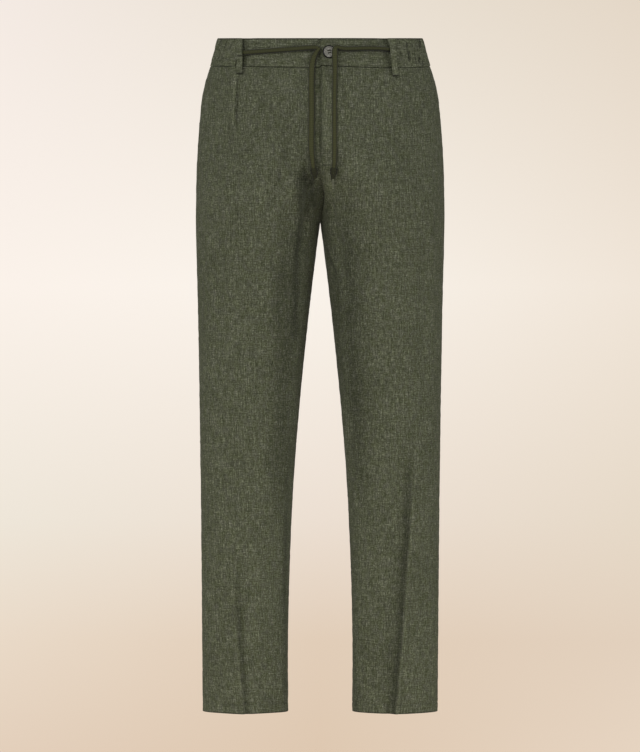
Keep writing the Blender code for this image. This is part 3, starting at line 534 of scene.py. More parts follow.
# --- Reading the tables ---
def between(t, index, values, slopes, span=1.0):
    """The smooth curve from row index of the values to the next row, t of the way."""
    start = (1 + 2 * t) * (1 - t) ** 2 * values[index] + t * (1 - t) ** 2 * span * slopes[index]
    end = t * t * (3 - 2 * t) * values[index + 1] - t * t * (1 - t) * span * slopes[index + 1]
    return start + end


def read(rows, column, z):
    """The table's column at the heights z, on a smooth curve through its rows."""
    rows = sorted(rows, key=lambda row: row.z)
    heights = np.array([row.z for row in rows], float)
    values = np.array([getattr(row, column) for row in rows], float)
    slopes = np.gradient(values, heights)
    z = np.clip(np.asarray(z, float), heights[0], heights[-1])
    index = np.clip(np.searchsorted(heights, z) - 1, 0, len(rows) - 2)
    span = heights[index + 1] - heights[index]
    return between((z - heights[index]) / span, index, values, slopes, span)


def ramp(value, start, end):
    """0 before start and 1 after end, with a soft turn at both."""
    t = np.clip((np.asarray(value, float) - start) / (end - start), 0.0, 1.0)
    return t * t * (3 - 2 * t)


def fade(value, start, end):
    """1 before start and 0 after end."""
    return 1 - ramp(value, start, end)


def bell(away, reach):
    """1 where away is 0, and next to nothing at twice the reach."""
    return np.exp(-((away / reach) ** 2))


def as_column(values):
    """The values one below the other, so that each belongs to a row of points."""
    return np.reshape(np.asarray(values, float), (-1, 1))


def tilt(z):
    """How much lower the front is than the sides at height z, and the back higher."""
    return WAIST_TILT * ramp(z, TILT_ENDS, BAND_BOTTOM)


def around(count):
    """Angles round a full turn, in even steps."""
    return np.linspace(0, FULL_TURN, count, endpoint=False)


def unit(vectors):
    """The vectors made one long."""
    return vectors / np.linalg.norm(vectors, axis=-1, keepdims=True)


def moved_out(x, y, z, normal_x, normal_y, out):
    """Points moved out along their normals, which lie level."""
    size = np.hypot(normal_x, normal_y)
    return np.stack([x + out * normal_x / size, y + out * normal_y / size, z], axis=-1)


def turn(z, starts):
    """How far round a row goes at height z: a quarter above the crotch curve, a half below."""
    share = np.clip((starts - np.asarray(z, float)) / (starts - FORK), 0.0, 1.0)
    eased = share**2 * (3 - 2 * share) - CURVE_ARRIVES * share**2 * (1 - share)
    return np.arccos(-eased)


def inner_edge(z, side, face):
    """The x of a panel's centre seam or inseam, counted away from the middle."""
    gap = np.where(z > FORK, SEAM, read(LEG_GAP, "half", z))
    if face > 0:
        gap = gap + side * np.where(z > FORK, read(CENTRE_FRONT, "x", z), 0.0)
    return gap


class Rows:
    """The arcs of one panel, for a column of heights. side is 1 on the wearer's left."""

    def __init__(self, side, face, z):
        self.side, self.face, self.z = side, face, as_column(z)
        self.turn = turn(self.z, FRONT_CURVE_STARTS if face > 0 else BACK_CURVE_STARTS)
        outer = read(SECTIONS, "outer", self.z)
        self.radius = (outer - inner_edge(self.z, side, face)) / (1 - np.cos(self.turn))
        self.middle = outer - self.radius
        self.depth = read(SECTIONS, "front" if face > 0 else "back", self.z)

    def angle_at(self, x):
        """The angle round the arc, from the side seam, where it crosses x."""
        return np.arccos(np.clip((x - self.middle) / self.radius, -1.0, 1.0))

    def arc(self, angle):
        """The radius that turns an angle near this one into a distance along the cloth."""
        return np.hypot(self.radius * np.sin(angle), self.depth * np.cos(angle))

    def from_seams(self, angle):
        """How far these angles lie from the side seam, and from the panel's other seam."""
        return angle * self.depth, (self.turn - angle) * self.depth

    def band_angle(self, angle):
        """The same place counted round the waist, from the wearer's left side by the front."""
        if self.face > 0:
            return angle if self.side > 0 else math.pi - angle
        return FULL_TURN - angle if self.side > 0 else math.pi + angle


# --- The surface of a panel ---
def fold_height(rows, angle, folds):
    """How far these folds move the panel's surface out, at each row and angle."""
    total = np.zeros_like(angle)
    for fold in folds:
        t = np.clip((fold.z_top - rows.z) / (fold.z_top - fold.z_end), 0.0, 1.0)
        x = (1 - t) * (1 - 2 * t) * fold.x_top
        x = x + 4 * t * (1 - t) * fold.x_mid
        x = x + t * (2 * t - 1) * fold.x_end
        line = rows.angle_at(x)
        away = (angle - line) * rows.arc(line)
        reach = np.where(away < 0, fold.outer, fold.inner)
        profile = np.cos(np.clip(away / reach, -1.0, 1.0) * math.pi / 2) ** 2
        length = ramp(rows.z, fold.z_end, fold.z_end + fold.fade)
        if fold.z_end <= HEM:
            length = np.ones_like(rows.z)
        length = length * fade(rows.z, fold.z_top - fold.fade, fold.z_top)
        if fold.z_top >= BAND_BOTTOM:
            length = ramp(rows.z, fold.z_end, fold.z_end + fold.fade)
        total += fold.height * profile * length
    return total


def lap_height(rows, x):
    """The wearer's left front stands out along the fly, where it laps over the right one."""
    along = ramp(rows.z, *LAP_FADES)
    return FLY_LAP * fade(x, *LAP_ENDS) * along


def uneven(u, v, seed):
    """Smooth random values from -1 to 1, one for each step of u and v."""
    u, v = np.broadcast_arrays(np.asarray(u, float), np.asarray(v, float))
    column = np.floor(u)
    row = np.floor(v)
    s = u - column
    t = v - row
    s = s * s * (3 - 2 * s)
    t = t * t * (3 - 2 * t)

    def corner(right, down):
        """The random value at one corner of the step."""
        value = np.sin(127.1 * (column + right) + 311.7 * (row + down) + 74.7 * seed) * 43758.5453
        return 2 * (value - np.floor(value)) - 1

    top = corner(0, 0) * (1 - s) + corner(1, 0) * s
    bottom = corner(0, 1) * (1 - s) + corner(1, 1) * s
    return top * (1 - t) + bottom * t


def gather_wave(band_angle, z):
    """The gathers round the waist, from about -1 to 1: round tops with narrow valleys between."""
    run = BAND_GIRTH * band_angle
    drift = 0.9 * uneven(run / 19.0, z / 24.0, 1.0)
    wave = np.abs(uneven(run / GATHER_SIZE + drift, z / 34.0, 2.0))
    swell = 0.65 + 0.35 * uneven(run / 24.0, z / 19.0, 3.0)
    return (np.sqrt(wave + 0.02) - 0.62) * swell


def ease_height(rows, angle):
    """The gathers run on for a little way below the waist seam, outside the front loops."""
    round_waist = rows.band_angle(angle)
    start, end = casing_ends()
    inside = ramp(round_waist, start, start + EASE_STARTS)
    inside = inside * fade(round_waist, end - EASE_STARTS, end)
    down = ramp(rows.z, EASE_ENDS, WAIST_SEAM) ** 2
    return EASE_HEIGHT * gather_wave(round_waist, BAND_BOTTOM) * inside * down


def settle(points, z):
    """Points of the front with the waist seam's own uneven line."""
    drop = np.interp(points[..., 0], *zip(*WAIST_SEAM_LINE))
    near = fade(np.abs(z - BAND_BOTTOM), 2.0, SEAM_LINE_REACH)
    points[..., 2] -= np.where(points[..., 1] < 0, drop, 0.0) * near
    return points


def hollow(z):
    """Where the cloth falls in below the fly, from 0 to 1."""
    return ramp(z, *HOLLOW_RISES) * fade(z, *HOLLOW_CLOSES)


def slack(rows, angle, seed):
    """Long, low unevenness of cloth that hangs free."""
    run = angle * rows.depth
    z = rows.z
    return sum(
        wave.height * uneven(run / wave.across + z / wave.lean, z / wave.down, seed + wave.seed)
        for wave in SLACK
    )


def pucker(rows, distance, seed):
    """Small puckers along a seam, that die out in the cloth."""
    wave = uneven(rows.z / PUCKER_SIZE, distance / 30.0, seed + 6.0)
    return PUCKER_HEIGHT * wave * fade(distance, 1.0, PUCKER_ENDS)


def place(rows, angle, out):
    """Points of a panel at each row and angle, moved out from its surface."""
    cos = np.cos(angle)
    sin = np.sin(angle)
    radius = rows.radius
    depth = rows.depth
    points = moved_out(
        rows.middle + radius * cos, -rows.face * depth * sin,
        rows.z - rows.face * tilt(rows.z) * sin,
        cos / radius, -rows.face * sin / depth, out,
    )
    points[..., 0] *= rows.side
    return points


def outward_normals(points, rows, columns):
    """Unit normals that keep a panel's edges in the planes of its seams."""
    up = np.gradient(points, rows.z[:, 0], axis=0, edge_order=2)
    across = np.gradient(points, columns, axis=1, edge_order=2)
    normals = np.cross(up, across) * rows.side * rows.face
    above = rows.z[:, 0] > FORK + SEAM
    towards_middle = np.minimum(normals[:, -1, 0] * rows.side, 0.0) * rows.side
    normals[:, -1, 0] = np.where(above, towards_middle, normals[:, -1, 0])
    normals[:, -1, 1] = np.where(above, normals[:, -1, 1], 0.0)
    normals[:, 0, 1] = 0.0
    normals[[0, -1], :, 2] = 0.0
    return unit(normals)


def surface_points(x, z, out):
    """Points at (x, z) on the front above the crotch, moved out from the panels."""
    x, z, out = (as_column(values) for values in np.broadcast_arrays(x, z, out))
    side = np.where(x >= read(CENTRE_FRONT, "x", z), 1, -1)
    height = z
    for _ in range(12):
        rows = Rows(side, 1, height)
        angle = rows.angle_at(side * x)
        height = z + tilt(height) * np.sin(angle)
    return place(rows, angle, out)[:, 0]


# --- Making meshes ---
def put(name, data):
    """A new object in the scene."""
    piece = bpy.data.objects.new(name, data)
    bpy.context.scene.collection.objects.link(piece)
    return piece


def make_plain(piece):
    """The piece's modifiers become its own smooth mesh."""
    graph = bpy.context.evaluated_depsgraph_get()
    mesh = bpy.data.meshes.new_from_object(piece.evaluated_get(graph))
    piece.modifiers.clear()
    piece.data = mesh
    mesh.shade_smooth()


def set_painted_light_and_shade(piece, tone):
    """How much lighter the piece is at each of its points, or darker where that is negative:
    painted light and shade.
    """
    layer = piece.data.attributes.new("tone", "FLOAT", "POINT")
    layer.data.foreach_set("value", tone.ravel().astype(np.float32))


def finish_mesh(name, points, faces, finish, uv=None, sharp=40):
    """An object from points in millimetres, with its faces turned outwards and smooth."""
    points = np.asarray(points, float) * MM
    mesh = bpy.data.meshes.new(name)
    mesh.from_pydata(points.tolist(), [], faces)
    mesh.validate()
    mesh.calc_loop_triangles()
    triangles = np.empty(len(mesh.loop_triangles) * 3, int)
    mesh.loop_triangles.foreach_get("vertices", triangles)
    a, b, c = (points[triangles.reshape(-1, 3)[:, corner]] for corner in range(3))
    if np.einsum("ij,ij->", a, np.cross(b, c)) < 0:
        mesh.flip_normals()
    if uv is not None:
        corners = np.empty(len(mesh.loops), int)
        mesh.loops.foreach_get("vertex_index", corners)
        layer = mesh.uv_layers.new(name="place")
        layer.data.foreach_set("uv", np.asarray(uv, float)[corners].ravel())
    mesh.shade_smooth()
    mesh.set_sharp_from_angle(angle=math.radians(sharp))
    mesh.materials.append(finish)
    return put(name, mesh)


def shell(name, slot, outer, inner, seed, tone=0.0, grain=0):
    """A closed thin shell of cloth between two grids of points."""
    down, across = outer.shape[:2]
    behind = down * across
    index = np.arange(behind).reshape(down, across)
    front = np.stack([index[:-1, :-1], index[:-1, 1:], index[1:, 1:], index[1:, :-1]], -1)
    front = front.reshape(-1, 4)
    rim = np.concatenate([index[0, :-1], index[:-1, -1], index[-1, :0:-1], index[:0:-1, 0]])
    following = np.roll(rim, -1)
    edge = np.stack([following, rim, rim + behind, following + behind], -1)
    faces = np.concatenate([front, front[:, ::-1] + behind, edge]).tolist()
    points = np.concatenate([outer.reshape(-1, 3), inner.reshape(-1, 3)])
    uv = np.concatenate([cloth_uv(outer, grain, seed).reshape(-1, 2)] * 2)
    piece = finish_mesh(name, points, faces, LINENS[slot], uv)
    set_painted_light_and_shade(piece, np.concatenate([np.broadcast_to(tone, outer.shape[:2])] * 2))
    return ride(piece)


def cloth_uv(outer, grain, seed):
    """Across and down the cloth in metres. The grain runs straight along one column."""
    steps = np.linalg.norm(np.diff(outer, axis=1), axis=-1)
    across = np.concatenate([np.zeros((len(outer), 1)), np.cumsum(steps, axis=1)], axis=1)
    across -= across[:, grain:grain + 1]
    falls = np.linalg.norm(np.diff(outer[:, grain], axis=0), axis=-1)
    down = np.concatenate([[0.0], np.cumsum(falls)])
    down = np.broadcast_to(down[:, None], across.shape)
    return np.stack([across * MM + 1.7 * seed, down * MM + 0.9 * seed], axis=-1)


def ride(piece):
    """The piece moves with the trousers."""
    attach(piece, BODY)
    return piece


# --- Materials ---
def paint(red, green, blue):
    """A colour in linear light from its usual values of 0 to 255."""
    shares = [part / 255 for part in (red, green, blue)]
    return tuple(
        part / 12.92 if part < 0.04045 else ((part + 0.055) / 1.055) ** 2.4 for part in shares
    )


def scaled(colour, share):
    """A darker or lighter colour of the same hue."""
    return tuple(share * part for part in colour)


class Nodes:
    """The node tree of a material or the world, with short ways to add and join its nodes."""

    def __init__(self, owner, shader="Principled BSDF"):
        """Nodes for this material or world, whose shader ends the tree."""
        owner.use_nodes = True
        self.owner = owner
        self.tree = owner.node_tree
        self.shader = self.tree.nodes[shader]

    def add(self, kind, inputs=(), **settings):
        """A new node, its inputs joined to sockets or set to values."""
        node = self.tree.nodes.new(kind)
        for key, value in settings.items():
            setattr(node, key, value)
        for socket, value in dict(inputs).items():
            if isinstance(value, bpy.types.NodeSocket):
                self.tree.links.new(value, node.inputs[socket])
            else:
                node.inputs[socket].default_value = value
        return node

    def cloth_place(self):
        """The place on the flat cloth, in metres."""
        return self.add("ShaderNodeUVMap", uv_map="place").outputs[0]

    def object_place(self):
        """The place in the piece's own frame, in metres."""
        return self.add("ShaderNodeTexCoord").outputs["Object"]

    def math(self, operation, first, second=0.0, third=0.0):
        """The result of one sum on up to three values."""
        inputs = {0: first, 1: second, 2: third}
        return self.add("ShaderNodeMath", inputs, operation=operation).outputs[0]

    def mix_in(self, value, amount, base):
        """The base with an amount of this value added."""
        return self.math("MULTIPLY_ADD", value, amount, base)

    def noise(self, vector, scale, detail=2.0, roughness=0.5):
        """Soft random values from 0 to 1."""
        inputs = {"Vector": vector, "Scale": scale, "Detail": detail, "Roughness": roughness}
        return self.add("ShaderNodeTexNoise", inputs).outputs["Fac"]

    def stretched(self, vector, size_across, size_down, shift=0.0):
        """The cloth's place, counted in marks of this size in millimetres."""
        inputs = {
            "Vector": vector,
            "Scale": (1 / (size_across * MM), 1 / (size_down * MM), 1.0),
            "Location": (shift, 0.37 * shift, shift),
        }
        return self.add("ShaderNodeMapping", inputs).outputs[0]

    def ramp(self, value, stops):
        """The colour for a value, from stops of a position and a colour."""
        node = self.add("ShaderNodeValToRGB", {"Fac": value})
        marks = node.color_ramp.elements
        while len(marks) < len(stops):
            marks.new(0.5)
        for mark, (position, colour) in zip(marks, stops):
            mark.position = position
            mark.color = (*colour, 1.0)
        return node.outputs["Color"]

    def blend(self, share, first, second):
        """The first colour where share is 0 and the second where it is 1."""
        inputs = {0: share, MIX_FIRST: first, MIX_SECOND: second}
        return self.add("ShaderNodeMix", inputs, data_type="RGBA").outputs[MIX_RESULT]

    def with_painted_light_and_shade(self, colour):
        """The colour made darker or lighter by the painted light and shade in the mesh's tone."""
        tone = self.add("ShaderNodeAttribute", attribute_name="tone").outputs["Fac"]
        inputs = {0: colour, "Scale": self.math("ADD", tone, 1.0)}
        return self.add("ShaderNodeVectorMath", inputs, operation="SCALE").outputs[0]

    def bump(self, height, strength, distance):
        """Relief of the shader's surface, with its distance in metres."""
        inputs = {"Height": height, "Strength": strength, "Distance": distance}
        self.link(self.add("ShaderNodeBump", inputs).outputs[0], "Normal")

    def link(self, output, socket):
        """Joins an output to this input of the shader."""
        self.tree.links.new(output, self.shader.inputs[socket])

    def set(self, **values):
        """Sets inputs of the shader, named with _ for a space."""
        for name, value in values.items():
            self.shader.inputs[name.replace("_", " ")].default_value = value


def new_finish(name):
    """The nodes of a new material."""
    return Nodes(bpy.data.materials.new(name))


# Sockets of a Mix node that mixes colours.
MIX_FIRST, MIX_SECOND, MIX_RESULT = 6, 7, 2
YARN = 0.62               # millimetres from one yarn to the next
# The linen's yarns: dark, usual, light and pale, in olive and in grey.
LINEN_OLIVE = (paint(34, 38, 23), paint(73, 77, 56), paint(91, 95, 74), paint(140, 146, 120))
LINEN_GREY = (paint(40, 42, 32), paint(77, 79, 66), paint(96, 98, 84), paint(150, 153, 134))
LINEN_MARKS = (0.0, 0.42, 0.60, 1.0)
# The slubs: their size across and down, and how much they lighten or darken the cloth.
SLUBS = table(
    "across down shift amount detail",
    (1.6, 9.0, 0.0, 0.74, 1.0),
    (8.0, 1.6, 3.0, 0.55, 1.0),
    (2.1, 34.0, 7.0, 0.30, 0.0),
    (26.0, 2.1, 11.0, 0.20, 0.0),
    (1.9, 2.1, 17.0, 0.54, 0.0),
    (70.0, 110.0, 23.0, 0.14, 2.0),
)


def make_linen(name, along_band=False):
    """Plain-woven linen of mixed greens and greys, with slubs along both its yarns."""
    nodes = new_finish(name)
    place_on = nodes.cloth_place()
    if along_band:
        turned = {"Vector": place_on, "Rotation": (0.0, 0.0, math.pi / 2)}
        place_on = nodes.add("ShaderNodeMapping", turned).outputs[0]
    value = 0.5
    for slub in SLUBS:
        place_in = nodes.stretched(place_on, slub.across, slub.down, slub.shift)
        mark = nodes.noise(place_in, 1.0, slub.detail, 0.6)
        value = nodes.mix_in(mark, slub.amount, nodes.math("SUBTRACT", value, slub.amount / 2))
    hue = nodes.noise(nodes.stretched(place_on, 9.0, 13.0, 31.0), 1.0, 3.0, 0.6)
    hue = nodes.mix_in(hue, 3.0, -1.15)
    olive = nodes.ramp(value, tuple(zip(LINEN_MARKS, LINEN_OLIVE)))
    grey = nodes.ramp(value, tuple(zip(LINEN_MARKS, LINEN_GREY)))
    # The mesh's tone paints light and shade onto the linen's colour.
    nodes.link(nodes.with_painted_light_and_shade(nodes.blend(hue, olive, grey)), "Base Color")
    axes = nodes.add("ShaderNodeSeparateXYZ", {0: place_on})
    over = nodes.math("SINE", nodes.math("MULTIPLY", axes.outputs[0], math.pi / (YARN * MM)))
    under = nodes.math("SINE", nodes.math("MULTIPLY", axes.outputs[1], math.pi / (YARN * MM)))
    weave = nodes.math("MULTIPLY", over, under)
    nodes.bump(nodes.mix_in(weave, 0.5, nodes.math("MULTIPLY", value, 1.6)), 0.35, 0.0003)
    nodes.link(nodes.mix_in(value, -0.12, 0.93), "Roughness")
    nodes.set(Sheen_Weight=0.08, Sheen_Roughness=0.45, Sheen_Tint=(0.80, 0.84, 0.70, 1.0))
    nodes.set(Specular_IOR_Level=0.2)
    return nodes.owner


def make_thread(name, colour):
    """Sewing thread: two plies that wind round each other."""
    nodes = new_finish(name)
    ply = nodes.noise(nodes.object_place(), 2600.0, 1.0)
    tone = nodes.ramp(ply, ((0.3, scaled(colour, 0.72)), (0.7, scaled(colour, 1.25))))
    nodes.link(tone, "Base Color")
    nodes.bump(ply, 0.4, 0.0001)
    nodes.set(Roughness=0.62, Sheen_Weight=0.15, Specular_IOR_Level=0.35)
    return nodes.owner


CORD_DARK = paint(28, 28, 14)
CORD_USUAL = paint(62, 64, 35)
CORD_LIGHT = paint(84, 86, 51)


def make_cord_finish(name, depth=1.0):
    """A braided cotton cord: its strands cross on the slant, and each is a bundle of yarns."""
    nodes = new_finish(name)
    place_on = nodes.cloth_place()
    axes = nodes.add("ShaderNodeSeparateXYZ", {0: place_on})
    along = nodes.math("MULTIPLY", axes.outputs[1], FULL_TURN / (PLAIT_LENGTH * MM))
    around_it = nodes.math("MULTIPLY", axes.outputs[0], FULL_TURN * PLAIT_STRANDS)
    one = nodes.math("SINE", nodes.math("ADD", along, around_it))
    other = nodes.math("SINE", nodes.math("SUBTRACT", along, around_it))
    plait = nodes.math("MULTIPLY", one, other)
    yarn = nodes.math("SINE", nodes.math("MULTIPLY_ADD", around_it, 5.0, along))
    fluff = nodes.noise(nodes.stretched(place_on, 60.0, 1.2), 1.0, 3.0, 0.6)
    # Painted shade: the cord's colour darkens towards both of its edges, where they turn away.
    across = nodes.math("COSINE", nodes.math("DIVIDE", around_it, PLAIT_STRANDS))
    edge = nodes.math("POWER", nodes.math("ABSOLUTE", across), 4.0)
    value = 0.25
    for part, amount in ((plait, 0.16), (yarn, 0.07), (fluff, 0.5), (edge, -0.5)):
        value = nodes.mix_in(part, amount, value)
    colour = nodes.ramp(value, (
        (0.15, scaled(CORD_DARK, depth)),
        (0.5, scaled(CORD_USUAL, depth)),
        (0.85, scaled(CORD_LIGHT, depth)),
    ))
    # The mesh's tone paints shade onto the cord's colour.
    nodes.link(nodes.with_painted_light_and_shade(colour), "Base Color")
    nodes.bump(nodes.mix_in(yarn, 0.3, fluff), 0.4, 0.0002)
    nodes.set(Roughness=0.8, Sheen_Weight=0.18, Sheen_Roughness=0.4, Specular_IOR_Level=0.3)
    return nodes.owner


def make_button_finish(name):
    """Polished grey horn with soft streaks, and a dark rim that is partly painted shade along its
    edge.
    """
    nodes = new_finish(name)
    place_on = nodes.object_place()
    bent = nodes.noise(place_on, 160.0, 3.0)
    streaks = nodes.add("ShaderNodeMapping", {
        "Vector": place_on, "Scale": (300.0, 300.0, 900.0), "Rotation": (0.0, 0.5, 0.3),
    }).outputs[0]
    grain = nodes.noise(streaks, 1.0, 4.0, 0.6)
    value = nodes.mix_in(bent, 0.5, nodes.math("MULTIPLY", grain, 0.5))
    horn = nodes.ramp(value, (
        (0.32, paint(66, 65, 60)),
        (0.5, paint(136, 135, 128)),
        (0.68, paint(196, 195, 187)),
    ))
    ring = nodes.add("ShaderNodeSeparateXYZ", {0: nodes.cloth_place()}).outputs[0]
    # The dark rim: dark horn, and painted shade for the shadow at the button's edge.
    rim = nodes.add("ShaderNodeMapRange", {
        "Value": ring, "From Min": BUTTON_RIM[0] * MM, "From Max": BUTTON_RIM[1] * MM,
    }).outputs["Result"]
    nodes.link(nodes.blend(rim, horn, (*paint(7, 7, 6), 1.0)), "Base Color")
    nodes.link(nodes.mix_in(grain, 0.2, 0.18), "Roughness")
    nodes.bump(grain, 0.08, 0.0001)
    nodes.set(Coat_Weight=0.1, Coat_Roughness=0.12, Specular_IOR_Level=0.25)
    return nodes.owner


LINENS = {
    "linen": make_linen("linen_cloth"),
    "linen_band": make_linen("linen_band_cloth", along_band=True),
}
THREAD = make_thread("sewing_thread", (0.052, 0.057, 0.035))
BUTTON_THREAD = make_thread("button_thread", (0.040, 0.043, 0.026))
CORD = make_cord_finish("braided_cord")
CORD_END = make_cord_finish("knotted_cord", depth=0.43)
HORN = make_button_finish("button_horn")


# --- Panels ---
def row_heights():
    """Rows from behind the waistband to the hem, closer together at the crotch and at the hem."""
    heights = [TUCK_TOP, -19.0, -20.6]
    heights += list(np.linspace(WAIST_SEAM, TUCK_FROM, 7))
    heights += list(np.linspace(TUCK_FROM, FRONT_CURVE_STARTS, 35)[1:])
    curve = np.linspace(math.pi / 2, math.pi, 60)[1:]
    heights += list(FRONT_CURVE_STARTS + (FRONT_CURVE_STARTS - FORK) * np.cos(curve))
    step = 0.8
    hem_top = HEM + HEM_FOLD
    while heights[-1] - step > hem_top + 3.0:
        heights.append(heights[-1] - step)
        step = min(step * 1.16, 4.4)
    heights += [hem_top + steps * HEM_STEP for steps in (2, 1, 0, -1, -2)]
    heights += list(np.linspace(hem_top - 3.6, HEM + 2.4, 5))
    heights += [HEM + HEM_ROLL * (1 - math.cos(a)) for a in np.linspace(1.35, 0.0, 6)]
    return np.array(heights)


def panel_columns(count):
    """Places across a panel: 0 at the side seam, 1 on the crease line, 2 at the other seam."""
    near = np.linspace(-1.0, 1.0, count)
    places = 1.0 + np.sign(near) * np.abs(near) ** 1.15
    edges = np.array([0.004, 0.009, 0.016])
    middle = 2.0 - np.linspace(0.02, 0.30, 16)
    return np.unique(np.round(np.concatenate([places, edges, 2.0 - edges, middle]), 5))


def panel_angles(rows, columns):
    """The angle of every point, with column 1 on the crease line."""
    if rows.face > 0:
        crease = rows.angle_at(read(FRONT_CREASE, "x", rows.z))
    else:
        crease = rows.turn / 2
    trim_side = SEAM / rows.depth
    trim_end = np.where(rows.z > FORK + SEAM, 0.0, SEAM / rows.depth)
    last = rows.turn - trim_end
    outer = trim_side + (crease - trim_side) * np.minimum(columns, 1.0)
    inner = (last - crease) * np.maximum(columns - 1.0, 0.0)
    return outer + inner


def hem_roll(z):
    """How far the folded edge of the hem turns in near the bottom."""
    rest = np.clip(1 - (z - HEM) / HEM_ROLL, 0.0, 1.0)
    return HEM_ROLL * (1 - np.sqrt(1 - rest**2))


def panel_out(panel, rows, angle):
    """How far the panel's face stands out from its plain arcs."""
    x = rows.middle + rows.radius * np.cos(angle)
    from_side, from_end = rows.from_seams(angle)
    nearest = np.minimum(from_side, from_end)
    clear = ramp(nearest, 0.0, FOLDS_CLEAR_SEAM)
    out = (fold_height(rows, angle, FOLDS[panel.name]) + slack(rows, angle, panel.seed)) * clear
    out += pucker(rows, nearest, panel.seed)
    out += ease_height(rows, angle) * ramp(from_side, 0.0, 8.0)
    out -= SEAM_DIP * fade(from_side, 0.0, SEAM_DIP_WIDTH)
    seam_shows = ramp(np.abs(rows.z - FORK), 12.0, 60.0)
    if rows.face > 0:
        seam_shows = seam_shows * (rows.z < FORK)
    along_fly = ramp(rows.z, *LAP_FADES)
    out -= SEAM_DIP * seam_shows * fade(from_end, 0.0, SEAM_DIP_WIDTH)
    if panel.name == "front_left":
        out += lap_height(rows, x)
        out -= along_fly * (FLY_LAP + FLY_STEP_IN) * fade(from_end, 0.0, FLY_LAP_EDGE)
    if panel.name == "front_right":
        out -= along_fly * FLY_STEP_IN * fade(from_end, 0.0, FLY_STEP_WIDTH)
    tuck = TUCK_IN - (TUCK_IN - TUCK_AT_SIDE) * fade(from_side, *TUCK_SIDE_ENDS)
    out -= tuck * ramp(rows.z, TUCK_FROM, WAIST_SEAM - 0.2)
    out -= HEM_GROOVE * bell(rows.z - HEM - HEM_FOLD, HEM_GROOVE_WIDTH)
    return out - hem_roll(rows.z)


def edge_x(panel, rows):
    """Where the panel's dips and puckers would take its edge at the centre seam."""
    return place(rows, rows.turn, panel_out(panel, rows, rows.turn))[..., 0]


def panel_points(panel, rows, angle, lift=0.0):
    """Points on the panel's face, with its edge kept in the plane of the centre seam, the hollow
    below the fly, the hem's sag and the waist seam's line."""
    points = place(rows, angle, panel_out(panel, rows, angle) + lift)
    from_end = rows.from_seams(angle)[1]
    edge = rows.side * inner_edge(rows.z, rows.side, rows.face)
    slip = np.where(rows.z > FORK, edge_x(panel, rows) - edge, 0.0)
    points[..., 0] -= slip * fade(from_end, 0.0, SEAM_EASES_IN)
    falls_in = hollow(rows.z)
    if panel.name == "front_left":
        turned_in = fade(from_end, 0.0, HOLLOW_LIP_EDGE)
        points[..., 1] += (HOLLOW_DEPTH + HOLLOW_LIP) * falls_in * turned_in
        points[..., 1] -= HOLLOW_LIP * falls_in * bell(from_end, HOLLOW_LIP_WIDTH)
    if panel.name == "front_right":
        points[..., 1] += HOLLOW_DEPTH * falls_in * bell(from_end, HOLLOW_WIDTH)
    if rows.face > 0:
        middle = bell(np.abs(points[..., 0]) - HEM_SAG_AT, HEM_SAG_REACH)
        points[..., 2] -= HEM_SAG * middle * ramp(-rows.z, HEM_SAG_STARTS, -HEM)
    return settle(points, rows.z)


def panel_painted_light_and_shade(panel, rows, angle):
    """Painted light and shade on the panel: the listed strokes, and painted shade at the turn of
    each seam and along the hem's bottom edge.
    """
    from_side, from_end = rows.from_seams(angle)
    tone = fold_height(rows, angle, PAINTED_LIGHT_AND_SHADE.get(panel.name, ()))
    on_leg = ramp(-rows.z, -FORK + 4.0, -FORK + 40.0)
    tone -= panel.inseam_tone * on_leg * fade(from_end, *SEAM_PAINTED_SHADE_ENDS)
    tone -= SIDE_SEAM_PAINTED_SHADE * fade(from_side, *SEAM_PAINTED_SHADE_ENDS)
    return tone - HEM_EDGE_PAINTED_SHADE * fade(rows.z, HEM + 0.9, HEM + 2.6)


def make_panel(panel):
    """One front or back, from behind the waistband to its folded hem."""
    columns = panel_columns(PANEL_COLUMNS)
    rows = Rows(panel.side, panel.face, row_heights())
    angle = panel_angles(rows, columns)
    outer = panel_points(panel, rows, angle)
    in_hem = fade(rows.z, HEM + HEM_FOLD - HEM_STEP, HEM + HEM_FOLD + HEM_STEP)
    thickness = CLOTH + (HEM_THICKNESS - CLOTH) * in_hem - 1.9 * hem_roll(rows.z)
    inner = outer - outward_normals(outer, rows, columns) * thickness[..., None]
    grain = int(np.argmin(np.abs(columns - 1.0)))
    tone = panel_painted_light_and_shade(panel, rows, angle)
    return shell(f"{panel.name}_linen", "linen", outer, inner, panel.seed, tone, grain)


# --- Waistband ---
def band_points(angles, heights, out):
    """Points on the waist, at each height and angle from the wearer's left side by the front."""
    z = as_column(heights)
    angle = np.asarray(angles, float)[None, :]
    cos = np.cos(angle)
    sin = np.sin(angle)
    a = read(SECTIONS, "outer", z)
    b = np.where(sin >= 0, read(SECTIONS, "front", z), read(SECTIONS, "back", z))
    return moved_out(a * cos, -b * sin, z - tilt(z) * sin, cos / a, -sin / b, out)


def band_x(angles):
    """The x of these angles, half way up the band."""
    return np.cos(angles) * float(read(SECTIONS, "outer", BAND_MIDDLE))


def band_angle(x, z, face=1):
    """The angle at which the waist at height z passes x."""
    return face * math.acos(max(-1.0, min(1.0, x / float(read(SECTIONS, "outer", z)))))


def casing_ends():
    """The angles where the gathered casing starts and ends, under the two front loops."""
    right = band_angle(LOOPS[0].x_top - CASING_PAST_RIGHT, BAND_MIDDLE)
    left = band_angle(LOOPS[1].x_top + CASING_PAST_LEFT, BAND_MIDDLE)
    return right, left + FULL_TURN


